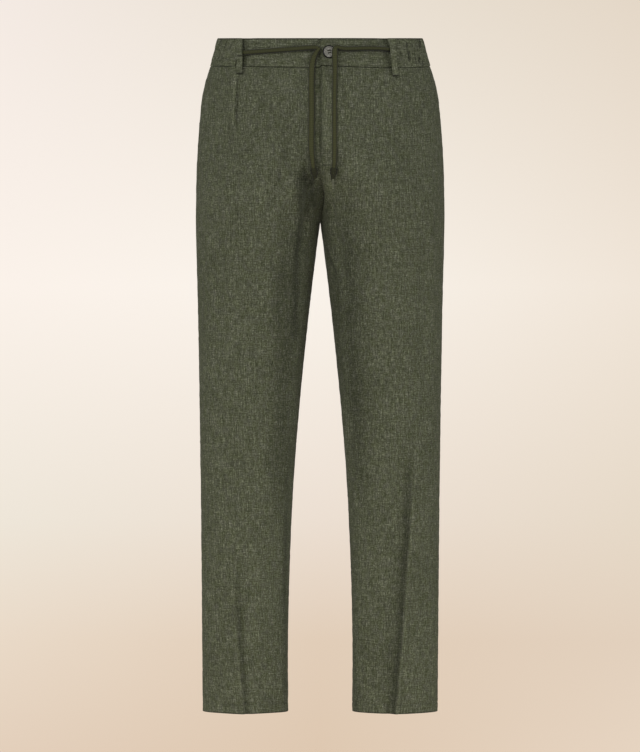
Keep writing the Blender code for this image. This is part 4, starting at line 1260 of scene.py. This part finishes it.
def band_heights(count):
    """A column of heights down a band, closer together at its rolled edges."""
    curl = BAND_ROLL * (1 - np.cos(np.linspace(0.0, math.pi / 2, 6)))
    middle = np.linspace(BAND_TOP - BAND_ROLL, BAND_BOTTOM + BAND_ROLL, count)[1:-1]
    return as_column(np.concatenate([BAND_TOP - curl, middle, (BAND_BOTTOM + curl)[::-1]]))


def edge_roll(heights, radius=BAND_ROLL):
    """How far a band's long edges turn in."""
    away = np.minimum(BAND_TOP - heights, heights - BAND_BOTTOM)
    rest = np.clip(1 - away / radius, 0.0, 1.0)
    return radius * (1 - np.sqrt(1 - rest**2))


def band_light_and_top_painted_shade(heights):
    """The waistband is a little lighter than the legs, and has painted shade along its top edge."""
    return BAND_LIGHT + BAND_TOP_PAINTED_SHADE * ramp(heights, BAND_TOP - 2.0, BAND_TOP - 0.9)


def dip_at_loops(x):
    """The flat band sinks where a cord lies between it and a belt loop."""
    near = np.min([np.abs(x - loop.x_top) for loop in LOOPS if loop.cord], axis=0)
    return -LOOP_DIP * fade(near, *LOOP_DIP_ENDS)


def band_strip(name, angles, face_out, seed):
    """A flat front of the waistband, a little limp, and pulled in along its sewing."""
    z = band_heights(22)
    run = angles[None, :] * BAND_GIRTH
    ends = np.minimum(angles - angles.min(), angles.max() - angles)[None, :] * BAND_GIRTH
    limp = 0.22 * np.sin(run / 8.3 + z / 17.0 + seed) + 0.14 * np.sin(run / 3.1 - z / 9.0)
    pull = 0.16 * np.sin(run / 1.35 + 1.2 * np.sin(run / 6.0)) * fade(z, -18.5, -11.0)
    stitch = -BAND_GROOVE * bell(z - BAND_BOTTOM - BAND_STITCH_IN, BAND_GROOVE_WIDTH)
    stitch = stitch - BAND_GROOVE * bell(BAND_TOP - BAND_STITCH_IN - z, BAND_GROOVE_WIDTH)
    face = face_out(band_x(angles))[None, :]
    roll = edge_roll(z)
    end_roll = 0.7 * fade(ends, 0.0, 1.4)
    outward = face + limp + pull + stitch - roll - end_roll
    behind = face - BAND_THICKNESS + roll * 0.9 + end_roll * 0.6
    outer, inner = (settle(band_points(angles, z, out), z) for out in (outward, behind))
    return shell(name, "linen_band", outer, inner, seed, band_light_and_top_painted_shade(z))


def right_band_out(x):
    """How far the right front of the waistband stands out, with its tongue behind the left one."""
    sunk = ramp(x, *TONGUE_SINKS)
    return BAND_OUT * (1 - sunk) + TONGUE_IN * sunk + dip_at_loops(x)


def left_band_out(x):
    """How far the left front of the waistband stands out, where it laps over the right one."""
    lap = fade(x, *LAP_ENDS)
    return BAND_OUT + (BAND_LAP_OUT - BAND_OUT) * lap + dip_at_loops(x)


def make_front_bands():
    """The two flat fronts of the waistband, between the casing's ends."""
    right_end, left_end = casing_ends()
    tongue = band_angle(TONGUE_END, BAND_MIDDLE)
    lap = band_angle(FLY_EDGE + 0.1, BAND_MIDDLE)
    right_angles = np.linspace(tongue, right_end - 0.001, 150)
    left_angles = np.linspace(left_end - FULL_TURN + 0.001, lap, 120)
    return (
        band_strip("waistband_front_right_linen", right_angles, right_band_out, 0.4),
        band_strip("waistband_front_left_linen", left_angles, left_band_out, 1.9),
    )


def near_loops(angles):
    """0 under a belt loop and 1 away from it."""
    share = np.ones_like(angles)
    for loop in LOOPS:
        here = band_angle(loop.x_top, BAND_MIDDLE, loop.face) % FULL_TURN
        away = np.abs((angles - here + math.pi) % FULL_TURN - math.pi)
        share = np.minimum(share, ramp(away, *CALM_ENDS))
    return share


def make_casing():
    """The elastic casing, gathered in uneven upright folds."""
    start, end = casing_ends()
    angles = np.linspace(start, end, GATHER_COLUMNS)
    z = band_heights(30)
    crown = np.sqrt(np.clip(1 - (2 * (z - BAND_MIDDLE) / (BAND_TOP - BAND_BOTTOM)) ** 2, 0, 1))
    calm = near_loops(angles)[None, :]
    along = angles[None, :]
    run = BAND_GIRTH * along
    crinkle = uneven(run / CRINKLE_SIZE + 0.12 * z, z / 9.0, 5.0)
    height = GATHER_HEIGHT * gather_wave(along, z) + CRINKLE_HEIGHT * crinkle
    height = height * (GATHER_AT_EDGE + (1 - GATHER_AT_EDGE) * crown) * calm
    face = CASING_EDGE + (CASING_OUT - CASING_EDGE) * crown
    face = face * (CALM_CROWN + (1 - CALM_CROWN) * calm) + CASING_FLARE * ramp(z, 0.0, 18.0)
    roll = edge_roll(z, CASING_ROLL)
    outer = settle(band_points(angles, z, face + height - roll), z)
    inner = settle(band_points(angles, z, -CASING_IN + 0.5 * height + roll * 0.8), z)
    deep = np.sqrt(crown) * calm
    # Painted shade in the valleys of the gathers and painted light on their crowns, with the band's
    # painted shade along its top.
    tone = band_light_and_top_painted_shade(z) - GATHER_VALLEY_PAINTED_SHADE * deep * ramp(-height, 0.15, 1.0)
    tone = tone + GATHER_PAINTED_LIGHT * ramp(height, 0.1, 0.8)
    return shell("casing_linen", "linen_band", outer, inner, 3.3, tone)


# --- Fly ---
def make_underlap():
    """The strip behind the fly."""
    heights = np.linspace(WAIST_SEAM - 0.2, FLY_BOTTOM, 50)
    across = np.concatenate([
        np.linspace(UNDERLAP_FROM, FLY_EDGE - 0.3, 6),
        np.linspace(FLY_EDGE + 0.3, UNDERLAP_TO, 16),
    ])
    x, z = np.meshgrid(across, heights)
    level = (z - tilt(z)).ravel()
    outer, inner = (
        surface_points(x.ravel(), level, out).reshape(*x.shape, 3)
        for out in (-UNDERLAP_DEPTH, -UNDERLAP_DEPTH - UNDERLAP_THICKNESS)
    )
    return shell("fly_underlap_linen", "linen", outer, inner, 5.1)


# --- Belt loops ---
def loop_heights(loop):
    """Heights down a loop, closer together at its folded foot."""
    arched = np.linspace(BAND_TOP - 0.4, loop.bottom + 1.0, 46)
    return np.concatenate([arched, [loop.bottom + 0.5, loop.bottom + 0.15, loop.bottom]])


def loop_surface(loop, heights, places, out):
    """Points of a loop: places run from -1 to 1 across it, and out is the stand above its back."""
    share = (BAND_TOP - heights) / (BAND_TOP - loop.bottom)
    x = loop.x_top + (loop.x_bottom - loop.x_top) * share
    stand = read(LOOP_ARCH, "over_cord" if loop.cord else "plain", heights)
    out = np.broadcast_to(out, (len(heights), len(places)))
    points = []
    for row, z in enumerate(heights):
        middle = band_angle(x[row], z, loop.face)
        for _ in range(3):
            face = band_points([middle], [z], stand[row] + LOOP_THICKNESS)[0, 0]
            middle += (face[0] - x[row]) / (float(read(SECTIONS, "outer", z)) * math.sin(middle))
        low, high = band_points([middle - 0.01, middle + 0.01], [z], 0.0)[0]
        half = LOOP_WIDTH / 2 * 0.02 / math.dist(low, high)
        half *= 1 + loop.flare * fade(BAND_TOP - z, 0.0, LOOP_FLARE_ENDS)
        points.append(band_points(middle + half * places, [z], stand[row] + out[row])[0])
    return np.array(points)


def make_belt_loop(loop, seed):
    """A narrow strip with rounded edges, sewn down at the band's top and below the waist seam."""
    heights = loop_heights(loop)
    half = [0.3, 0.6, LOOP_STITCH_LINE, 0.76, 0.88, 0.95, 0.985, 1.0]
    places = np.array([-share for share in reversed(half)] + [0.0] + half)
    rounding = 1 - np.sqrt(np.clip(1 - np.clip((np.abs(places) - 0.84) / 0.16, 0, 1) ** 2, 0, 1))
    crown = LOOP_CROWN * (1 - places**4)
    crown -= LOOP_GROOVE * bell(np.abs(places) - LOOP_STITCH_LINE, 0.07)
    rows = as_column(heights)
    end_roll = 0.8 * fade(rows, loop.bottom, loop.bottom + 0.9)
    limp = LOOP_LIMP * uneven(rows / 9.0 + seed, places / 1.3, seed)
    out = LOOP_THICKNESS + crown - LOOP_ROUNDING * rounding + limp - end_roll
    # The loop's painted light and shade: shade along its top edge, at its folded foot and in the
    # crease, and light below the cord.
    tone = band_light_and_top_painted_shade(rows) + LOOP_LIGHT
    tone = tone - LOOP_FOOT_PAINTED_SHADE * fade(rows, loop.bottom + 0.8, loop.bottom + 2.0)
    if loop.name == "belt_loop_front_left":
        below_cord = fade(rows, -22.0, -6.0) * ramp(rows, loop.bottom + 1.6, loop.bottom + 3.0)
        tone = tone + LOOP_PAINTED_LIGHT_BELOW_CORD * below_cord
    if loop.name == "belt_loop_front_right":
        crease = bell(rows - LOOP_CREASE, 1.0)
        out = out - LOOP_CREASE_DEPTH * crease
        tone = tone - LOOP_CREASE_PAINTED_SHADE * crease
    outer = loop_surface(loop, heights, places, out)
    inner = loop_surface(loop, heights, places, 0.6 * rounding)
    middle = len(half)
    return shell(f"{loop.name}_linen", "linen_band", outer, inner, seed, tone, middle)


# --- Button ---
BUTTON_PROFILE = table(
    "inset height",
    (2, 0),
    (0.9, 0.25),
    (0.25, 0.8),
    (0, 1.4),
    (0.2, 2),
    (0.7, 2.5),
    (1.3, BUTTON_THICKNESS),
    (1.9, 2.7),
    (2.6, 2.3),
    (3.2, 2),
    (4, 1.86),
)
BUTTON_DISH = 1.8


def button_frame():
    """The button's seat on the band, and the directions across, up and out of its face."""
    seat = surface_points([BUTTON_X], [BUTTON_Z], [BAND_LAP_OUT + BUTTON_STAND])[0]
    across = np.array([math.cos(BUTTON_LEAN), math.sin(BUTTON_LEAN), 0.0])
    up = np.array([0.0, 0.0, 1.0])
    return seat, across, up, np.cross(across, up)


def on_button(x, y, height):
    """A point this far across, up and out from the button's seat."""
    seat, across, up, out = button_frame()
    return seat + across * x + up * y + out * height


def make_button():
    """A turned disc with a raised rim and four holes."""
    turns = around(BUTTON_SIDES)
    points = [on_button(0.0, 0.0, 0.0)]
    for stop in BUTTON_PROFILE:
        radius = BUTTON_RADIUS - stop.inset
        ring = [(radius * math.cos(a), radius * math.sin(a)) for a in turns]
        points += [on_button(x, y, stop.height) for x, y in ring]
    points.append(on_button(0.0, 0.0, BUTTON_DISH))
    last = len(points) - 1 - BUTTON_SIDES
    faces = []
    for step in range(BUTTON_SIDES):
        following = (step + 1) % BUTTON_SIDES
        faces.append((0, 1 + following, 1 + step))
        for a in range(1, last, BUTTON_SIDES):
            b = a + BUTTON_SIDES
            faces.append((a + step, a + following, b + following, b + step))
        faces.append((last + step, last + following, len(points) - 1))
    seat, across, up, _ = button_frame()
    reach = [math.hypot((p - seat) @ across, (p - seat) @ up) * MM for p in points]
    disc = finish_mesh("button_disc", points, faces, HORN, [(part, 0.0) for part in reach])
    cutters = [make_hole_cutter(index) for index in range(4)]
    for cutter in cutters:
        disc.modifiers.new(cutter.name, "BOOLEAN").object = cutter
    make_plain(disc)
    disc.data.set_sharp_from_angle(angle=math.radians(38))
    for cutter in cutters:
        bpy.data.objects.remove(cutter)
    return ride(disc)


def hole_place(index):
    """How far across and up one of the four holes lies."""
    turn_at = BUTTON_HOLE_TURN + index * math.pi / 2
    return BUTTON_HOLE_SPREAD * math.cos(turn_at), BUTTON_HOLE_SPREAD * math.sin(turn_at)


def tube(name, path, radius, sides, finish):
    """A round tube along a path, closed at both ends."""
    path = np.asarray(path, float)
    along = unit(np.gradient(path, axis=0))
    first = unit(np.cross(along, [0.0, -1.0, 0.31]))
    second = np.cross(along, first)
    turns = around(sides)[None, :, None]
    ring = np.cos(turns) * first[:, None] + np.sin(turns) * second[:, None]
    points = (path[:, None] + radius * ring).reshape(-1, 3)
    return finish_mesh(name, points, tube_faces(len(path), sides), finish)


def tube_faces(count, sides):
    """Faces round a tube of this many rings, and its two ends."""
    faces = []
    for level in range(count - 1):
        for step in range(sides):
            a = level * sides + step
            b = level * sides + (step + 1) % sides
            faces.append((a, b, b + sides, a + sides))
    return faces + [
        tuple(reversed(range(sides))), tuple(range((count - 1) * sides, count * sides)),
    ]


def tube_uv(turns, run):
    """A tube's UV map: the share of a turn, and the metres along it."""
    return np.stack(np.broadcast_arrays(turns / FULL_TURN, run[:, None] * MM), -1).reshape(-1, 2)


def make_hole_cutter(index):
    """A rod that cuts one hole through the button."""
    x, y = hole_place(index)
    path = [on_button(x, y, height) for height in (-3.0, 1.5, 6.0)]
    return tube(f"hole_cutter_{index}", path, BUTTON_HOLE, 28, HORN)


def make_button_threads():
    """Two stitches across the button's holes, and the shank of thread under it."""
    pieces = []
    for pair in ((0, 1), (2, 3)):
        start, end = (np.array(hole_place(index)) for index in pair)
        for lane in BUTTON_THREAD_LANES:
            side = unit(np.array([-(end - start)[1], (end - start)[0]])) * lane
            path = []
            for t in np.linspace(0, 1, 15):
                x, y = start + (end - start) * t + side
                lift = BUTTON_DISH + 0.35 + 0.35 * math.sin(math.pi * t)
                drop = 2.2 * (max(0.0, 0.14 - t) + max(0.0, t - 0.86)) / 0.14
                path.append(on_button(x, y, lift - drop))
            pieces.append(tube("button_thread", path, BUTTON_THREAD_RADIUS, 8, BUTTON_THREAD))
    shank = [on_button(0.0, 0.0, height) for height in np.linspace(-BUTTON_STAND - 0.4, 0.4, 4)]
    pieces.append(tube("button_thread", shank, BUTTON_SHANK_RADIUS, 16, BUTTON_THREAD))
    return ride(join("button_thread", pieces))


def join(name, objects):
    """One object from several, with its place in its mesh."""
    with bpy.context.temp_override(
        active_object=objects[0], object=objects[0],
        selected_objects=objects, selected_editable_objects=objects,
    ):
        bpy.ops.object.join()
    objects[0].name = name
    objects[0].data.name = name
    return objects[0]


# --- Drawstring ---
def smooth_route(stops):
    """Points every CORD_STEP along a smooth curve through the stops, and the half width there."""
    x, z, off, half = (np.array(values) for values in zip(*stops))
    places = surface_points(x, z, off)
    places[:, 2] = z
    values = np.column_stack([places, half])
    before = np.vstack([2 * values[0] - values[1], values[:-1]])
    after = np.vstack([values[1:], 2 * values[-1] - values[-2]])
    slopes = (after - before) / 2
    steps = np.linspace(0, 1, 24, endpoint=False)
    dense = [between(t, index, values, slopes) for index in range(len(values) - 1) for t in steps]
    dense = np.array(dense + [values[-1]])
    lengths = np.linalg.norm(np.diff(dense[:, :3], axis=0), axis=1)
    run = np.concatenate([[0.0], np.cumsum(lengths)])
    wanted = np.linspace(0.0, run[-1], int(round(run[-1] / CORD_STEP)) + 1)
    read_at = [np.interp(wanted, run, dense[:, axis]) for axis in range(4)]
    return np.stack(read_at[:3], axis=1), read_at[3], wanted


def make_cord(name, node, stops):
    """A soft flat braid along its route, with its strands raised."""
    path, half, run = smooth_route(stops)
    along = unit(np.gradient(path, axis=0))
    outward = path / [HIP_HALF_WIDTH**2, HIP_HALF_DEPTH**2, math.inf]
    wide = unit(np.cross(along, outward))
    thick = np.cross(wide, along)
    turns = around(CORD_SIDES)
    cos = np.cos(turns)
    sin = np.sin(turns)
    phase = FULL_TURN * run[:, None] / PLAIT_LENGTH
    strand = PLAIT_STRANDS * turns
    relief = PLAIT_HEIGHT * np.sin(phase + strand) * np.sin(phase - strand)
    groove = CORD_GROOVE * fade(np.abs(cos), 0.0, 0.4)
    across = (half[:, None] + relief) * np.sign(cos) * np.abs(cos) ** CORD_SQUARENESS
    thickness = CORD_HALF_THICK + relief + CORD_GROOVE - groove
    deep = thickness * np.sign(sin) * np.abs(sin) ** CORD_SQUARENESS
    points = path[:, None] + wide[:, None] * across[..., None] + thick[:, None] * deep[..., None]
    faces = tube_faces(len(path), CORD_SIDES)
    piece = finish_mesh(name, points.reshape(-1, 3), faces, CORD, tube_uv(turns, run), sharp=70)
    # Painted shade on the side turned to SHADE_SIDE; the cord is also darker where it runs across
    # the waistband.
    facing = wide[:, None] * cos[:, None] + thick[:, None] * sin[:, None]
    shade = -CORD_SHADE * ramp(facing @ SHADE_SIDE, 0.3, 0.85)
    shade -= CORD_ACROSS_SHADE * np.abs(along[:, 0])[:, None] * (1 + shade)
    set_painted_light_and_shade(piece, shade)
    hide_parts(node)
    return ride(piece), path


def make_knot(name, node, path, seed):
    """The cord's end wrapped in a small tight knot, and the tail cut on the slant."""
    down = unit(path[-1] - path[-9])
    right = unit(np.cross(down, [0.0, 1.0, 0.0]))
    forward = np.cross(right, down)
    turns = around(KNOT_SIDES)
    tail = KNOT_PROFILE[-1].depth
    depths = np.concatenate([[-0.8], np.linspace(0.0, tail, 56)])
    depth = depths[:, None]
    radius = KNOT_RADIUS * np.where(depth < 0, 0.45, np.interp(depth, *zip(*KNOT_PROFILE)))
    wrapped = fade(depth, *KNOT_WRAP_ENDS)
    wrap = np.abs(np.sin(1.5 * turns + 0.62 * depth + seed))
    relief = wrapped * (KNOT_WRAP_HEIGHT * wrap**0.6 - KNOT_WRAP_DEPTH)
    relief += (1 - wrapped) * 0.12 * np.sin(9 * turns + depth)
    x = (radius + relief) * np.cos(turns)
    y = (radius + relief) * np.sin(turns) * KNOT_FLATNESS
    fall = 0.1 + depth - KNOT_CUT_SLOPE * x * ramp(depth, 13.0, tail)
    points = path[-1] + right * x[..., None] + forward * y[..., None] + down * fall[..., None]
    faces = tube_faces(len(depths), KNOT_SIDES)
    uv = tube_uv(turns, depths)
    piece = finish_mesh(name, points.reshape(-1, 3), faces, CORD_END, uv, sharp=60)
    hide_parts(node)
    return ride(piece)


# --- Sewing ---
def make_stitch_tree():
    """Stitches laid end to end along every line of a mesh of edges."""
    tree = bpy.data.node_groups.new("row_of_stitches", "GeometryNodeTree")
    for name, kind in (
        ("Lines", "Geometry"), ("Pitch", "Float"), ("Stitch length", "Float"),
        ("Thickness", "Float"), ("Thread", "Material"),
    ):
        tree.interface.new_socket(name=name, in_out="INPUT", socket_type=f"NodeSocket{kind}")
    tree.interface.new_socket(name="Stitches", in_out="OUTPUT", socket_type="NodeSocketGeometry")
    add = tree.nodes.new
    given = add("NodeGroupInput")
    made = add("NodeGroupOutput")
    lines = add("GeometryNodeMeshToCurve")
    spaced = add("GeometryNodeResampleCurve")
    spaced.mode = "LENGTH"
    tangent = add("GeometryNodeInputTangent")
    turned = add("FunctionNodeAlignRotationToVector")
    turned.axis = "Z"
    ball = add("GeometryNodeMeshUVSphere")
    for name, value in (("Segments", 6), ("Rings", 5), ("Radius", 0.5)):
        ball.inputs[name].default_value = value
    size = add("ShaderNodeCombineXYZ")
    laid = add("GeometryNodeInstanceOnPoints")
    real = add("GeometryNodeRealizeInstances")
    painted = add("GeometryNodeSetMaterial")
    for source, output, target, socket in (
        (given, "Lines", lines, "Mesh"),
        (lines, "Curve", spaced, "Curve"),
        (given, "Pitch", spaced, "Length"),
        (tangent, "Tangent", turned, "Vector"),
        (given, "Thickness", size, "X"),
        (given, "Thickness", size, "Y"),
        (given, "Stitch length", size, "Z"),
        (spaced, "Curve", laid, "Points"),
        (ball, "Mesh", laid, "Instance"),
        (turned, "Rotation", laid, "Rotation"),
        (size, "Vector", laid, "Scale"),
        (laid, "Instances", real, "Geometry"),
        (real, "Geometry", painted, "Geometry"),
        (given, "Thread", painted, "Material"),
        (painted, "Geometry", made, "Stitches"),
    ):
        tree.links.new(source.outputs[output], target.inputs[socket])
    return tree


STITCH_TREE = make_stitch_tree()


def sew(name, lines, pitch=3.0, length=2.3, thickness=0.5):
    """Stitches along these lines of points, made a plain mesh."""
    points = []
    edges = []
    for line in lines:
        first = len(points)
        points += [tuple(np.asarray(point) * MM) for point in line]
        edges += [(first + step, first + step + 1) for step in range(len(line) - 1)]
    mesh = bpy.data.meshes.new(name)
    mesh.from_pydata(points, edges, [])
    piece = put(name, mesh)
    rule = piece.modifiers.new("stitches", "NODES")
    rule.node_group = STITCH_TREE
    values = {
        "Pitch": pitch * MM, "Stitch length": length * MM,
        "Thickness": thickness * MM, "Thread": THREAD,
    }
    for socket in STITCH_TREE.interface.items_tree:
        if socket.name in values:
            rule[socket.identifier] = values[socket.name]
    make_plain(piece)
    return ride(piece)


def band_line(start_x, end_x, z, face_out):
    """A line of sewing along the flat band, just above its face."""
    angles = np.linspace(*(band_angle(x, BAND_MIDDLE) for x in (start_x, end_x)), 90)
    return settle(band_points(angles, [z], face_out(band_x(angles))[None, :] - STITCH_SINK), z)[0]


def sew_bands():
    """Lines along both edges of the flat bands, and one up the lapping end."""
    levels = (BAND_BOTTOM + BAND_STITCH_IN, BAND_TOP - BAND_STITCH_IN)
    lines = []
    for z in levels:
        lines.append(band_line(-112.0, FLY_EDGE - 5.0, z, right_band_out))
        lines.append(band_line(FLY_EDGE + 1.6, 100.0, z, left_band_out))
    end = band_angle(FLY_EDGE + 2.0, BAND_MIDDLE)
    lines.append(band_points([end], np.linspace(*levels, 20), BAND_LAP_OUT - STITCH_SINK)[:, 0])
    return sew("waistband_stitching", lines, thickness=0.42)


def sew_fly():
    """The bar of close stitches at the fly's end, and the seam's line of stitches above it."""
    lines = []
    for rise in (-0.7, 0.0, 0.7):
        x = np.linspace(*FLY_TACK_ENDS, 30)
        lines.append(on_front_left(x, np.full(30, FLY_TACK + rise), 0.35))
    z = np.linspace(-34.0, FLY_TACK + 4.0, 60)
    lines.append(on_front_left(np.full(60, FLY_EDGE + 2.6), z, 0.0))
    return sew("fly_stitching", lines, thickness=0.42)


def on_front_left(x, z, lift):
    """Points on the face of the left front."""
    rows = Rows(1, 1, z + tilt(z))
    angle = rows.angle_at(as_column(x))
    return panel_points(PANELS["front_left"], rows, angle, lift)[:, 0]


def sew_hems():
    """Stitches round each leg that hold the folded hem."""
    lines = []
    for panel in PANELS.values():
        rows = Rows(panel.side, panel.face, np.array([HEM + HEM_FOLD]))
        angle = np.linspace(0.02, rows.turn.item() - 0.02, 120)[None, :]
        lines.append(panel_points(panel, rows, angle, 0.05)[0])
    return sew("hem_stitching", lines, thickness=0.4)


def sew_loops():
    """Two lines down each belt loop, and two bars across its foot."""
    lines = []
    for loop in LOOPS:
        heights = np.linspace(BAND_TOP - 1.5, loop.bottom + 1.2, 40)
        for place_at in (-LOOP_STITCH_LINE, LOOP_STITCH_LINE):
            line = loop_surface(loop, heights, np.array([place_at]), LOOP_THICKNESS + 0.2)
            lines.append(line[:, 0])
        for rise in (1.4, 2.4):
            z = np.array([loop.bottom + rise])
            bar = loop_surface(loop, z, np.linspace(-0.8, 0.8, 9), LOOP_THICKNESS + 0.5)
            lines.append(bar[0])
    return sew("belt_loop_stitching", lines, pitch=2.4, length=1.9, thickness=0.42)


def sew_buttonhole():
    """Close stitches round the slit that the button passes through."""
    turns = around(84)
    x = BUTTON_X + BUTTONHOLE_IN + BUTTONHOLE_HALF_LENGTH * np.cos(turns)
    z = BUTTON_Z + BUTTONHOLE_HALF_WIDTH * np.sin(turns)
    inner = surface_points(x, z, BAND_LAP_OUT + 0.25)
    outer = surface_points(x + 1.3 * np.cos(turns), z + 1.5 * np.sin(turns), BAND_LAP_OUT + 0.05)
    lines = np.stack([inner, (inner + outer) / 2, outer], axis=1)
    return sew("buttonhole_stitching", lines, pitch=0.9, length=1.3, thickness=0.5)


# --- Putting it together ---
CAMERA_AT = (-0.0003, -5.5, -0.4984)
CAMERA_LENS = 170.9


def make_camera():
    """Level with the middle of the legs, from 5.5 m in front, with a long lens."""
    data = bpy.data.cameras.new("camera")
    data.lens = CAMERA_LENS
    data.sensor_width = 36.0
    camera = put("camera", data)
    camera.location = CAMERA_AT
    camera.rotation_euler = (math.radians(90), 0.0, 0.0)
    bpy.context.scene.camera = camera


def make_drawstring():
    """The two free strands, each with a knot at its end."""
    for side, stops, seed in (("right", CORD_FROM_RIGHT, 1.4), ("left", CORD_FROM_LEFT, 0.3)):
        node = f"drawstring_{side}"
        cord, path = make_cord(f"{node}_braid", node, stops)
        knot = make_knot(f"{node}_end", f"{node}_knot", path, seed)


def make_garment():
    """All the cloth, the button and the sewing."""
    right_band, left_band = make_front_bands()
    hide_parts("waistband_front_right")
    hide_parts("waistband_front_left")
    casing = make_casing()
    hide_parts("waistband_back")
    for panel in PANELS.values():
        piece = make_panel(panel)
        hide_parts(panel.name)
    underlap = make_underlap()
    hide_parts("fly_underlap")
    for index, loop in enumerate(LOOPS):
        piece = make_belt_loop(loop, 0.7 + index)
        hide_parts(loop.name)
    button = make_button()
    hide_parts("button")
    make_button_threads()
    sew_bands()
    sew_fly()
    sew_hems()
    sew_loops()
    sew_buttonhole()


# --- Floor, light and background ---
FLOOR_RADIUS = 2.3
FLOOR_HEIGHT = -1.3


def make_floor():
    """A pale disc below the hems that fades out towards its rim."""
    nodes = new_finish("pale_floor")
    place_on = nodes.object_place()
    grain = nodes.noise(place_on, 3.0, 2.0)
    pale = nodes.ramp(grain, ((0.3, paint(231, 219, 203)), (0.7, paint(235, 223, 208))))
    nodes.link(pale, "Base Color")
    reach = nodes.add("ShaderNodeVectorMath", {0: place_on}, operation="LENGTH").outputs["Value"]
    limits = {"From Min": 0.9, "From Max": FLOOR_RADIUS - 0.1, "To Min": 1.0, "To Max": 0.0}
    inputs = {"Value": reach, **limits}
    shown = nodes.add("ShaderNodeMapRange", inputs, interpolation_type="SMOOTHSTEP")
    nodes.link(shown.outputs["Result"], "Alpha")
    nodes.set(Roughness=0.95, Specular_IOR_Level=0.1)
    mesh = bpy.data.meshes.new("floor")
    rim = [(FLOOR_RADIUS * math.cos(a), FLOOR_RADIUS * math.sin(a), 0.0) for a in around(96)]
    mesh.from_pydata(rim, [], [tuple(range(96))])
    mesh.materials.append(nodes.owner)
    floor = put("floor", mesh)
    floor.location.z = FLOOR_HEIGHT


# The backdrop from the bottom of the view to its top, at its left, middle and right.
BACKDROP = table(
    "height left middle right",
    (-0.105, (227, 207, 187), (222, 200, 177), (230, 212, 193)),
    (-0.074, (233, 217, 199), (225, 205, 184), (226, 208, 189)),
    (-0.04, (238, 230, 217), (236, 223, 210), (230, 217, 200)),
    (0.025, (251, 242, 234), (250, 243, 234), (240, 229, 216)),
    (0.105, (244, 234, 227), (234, 225, 212), (228, 215, 199)),
)
# The studio's lamps, in metres and watts. Each is aimed at this height on the trousers' axis.
LAMPS = table(
    "name place aim size power colour spread",
    ("key", (-2.0, -4.4, 1.5), -0.45, 1.2, 58.0, (1.0, 0.985, 0.96), 180),
    ("left", (-3.4, -1.5, -0.1), -0.55, 1.6, 22.0, (1.0, 0.99, 0.97), 180),
    ("right", (3.4, -1.5, -0.1), -0.55, 1.6, 34.0, (1.0, 0.99, 0.97), 180),
    ("low", (0.0, -3.4, -1.15), -1.0, 0.6, 0.55, (1.0, 0.99, 0.95), 34),
    ("back", (0.0, 4.4, 0.6), -0.5, 2.2, 110.0, (1.0, 0.99, 0.97), 180),
)
# How bright the studio is to each side: 0 behind the trousers, 1 in front of them.
STUDIO = (
    (0.0, 0.06),
    (0.40, 0.08),
    (0.56, 0.36),
    (1.0, 0.50),
)


def make_background():
    """A pale warm backdrop, and the softer light of the studio round the trousers."""
    world = bpy.data.worlds.new("backdrop")
    bpy.context.scene.world = world
    nodes = Nodes(world, "Background")
    look = nodes.add("ShaderNodeTexCoord").outputs["Generated"]
    axes = nodes.add("ShaderNodeSeparateXYZ", {0: look}).outputs

    def spread(axis, start, end):
        """From 0 to 1 as the view turns from start to end along this axis."""
        inputs = {"Value": axes[axis], "From Min": start, "From Max": end}
        return nodes.add("ShaderNodeMapRange", inputs).outputs["Result"]

    low, high = BACKDROP[0].height, BACKDROP[-1].height
    level = spread("Z", low, high)
    left, middle, right = (
        nodes.ramp(level, [
            ((band.height - low) / (high - low), paint(*getattr(band, column))) for band in BACKDROP
        ])
        for column in ("left", "middle", "right")
    )
    backdrop = nodes.blend(spread("X", -0.09, 0.0), left, middle)
    backdrop = nodes.blend(spread("X", 0.0, 0.09), backdrop, right)
    studio = nodes.ramp(spread("Y", 1.0, -1.0), [(at, (b, b * 0.99, b * 0.97)) for at, b in STUDIO])
    seen = nodes.add("ShaderNodeLightPath").outputs["Is Camera Ray"]
    nodes.link(nodes.blend(seen, studio, backdrop), "Color")


def make_lights():
    """The studio's lamps, which the camera does not see."""
    for lamp in LAMPS:
        data = bpy.data.lights.new(lamp.name, "AREA")
        data.shape = "DISK"
        data.size = lamp.size
        data.energy = lamp.power
        data.color = lamp.colour
        data.spread = math.radians(lamp.spread)
        light = put(lamp.name, data)
        light.location = lamp.place
        aim = Vector((0.0, 0.0, lamp.aim)) - light.location
        light.rotation_euler = aim.to_track_quat("-Z", "Y").to_euler()
        light.visible_camera = False


make_camera()
make_drawstring()
make_garment()
make_floor()
make_background()
make_lights()
bpy.context.scene.view_settings.view_transform = "Standard"
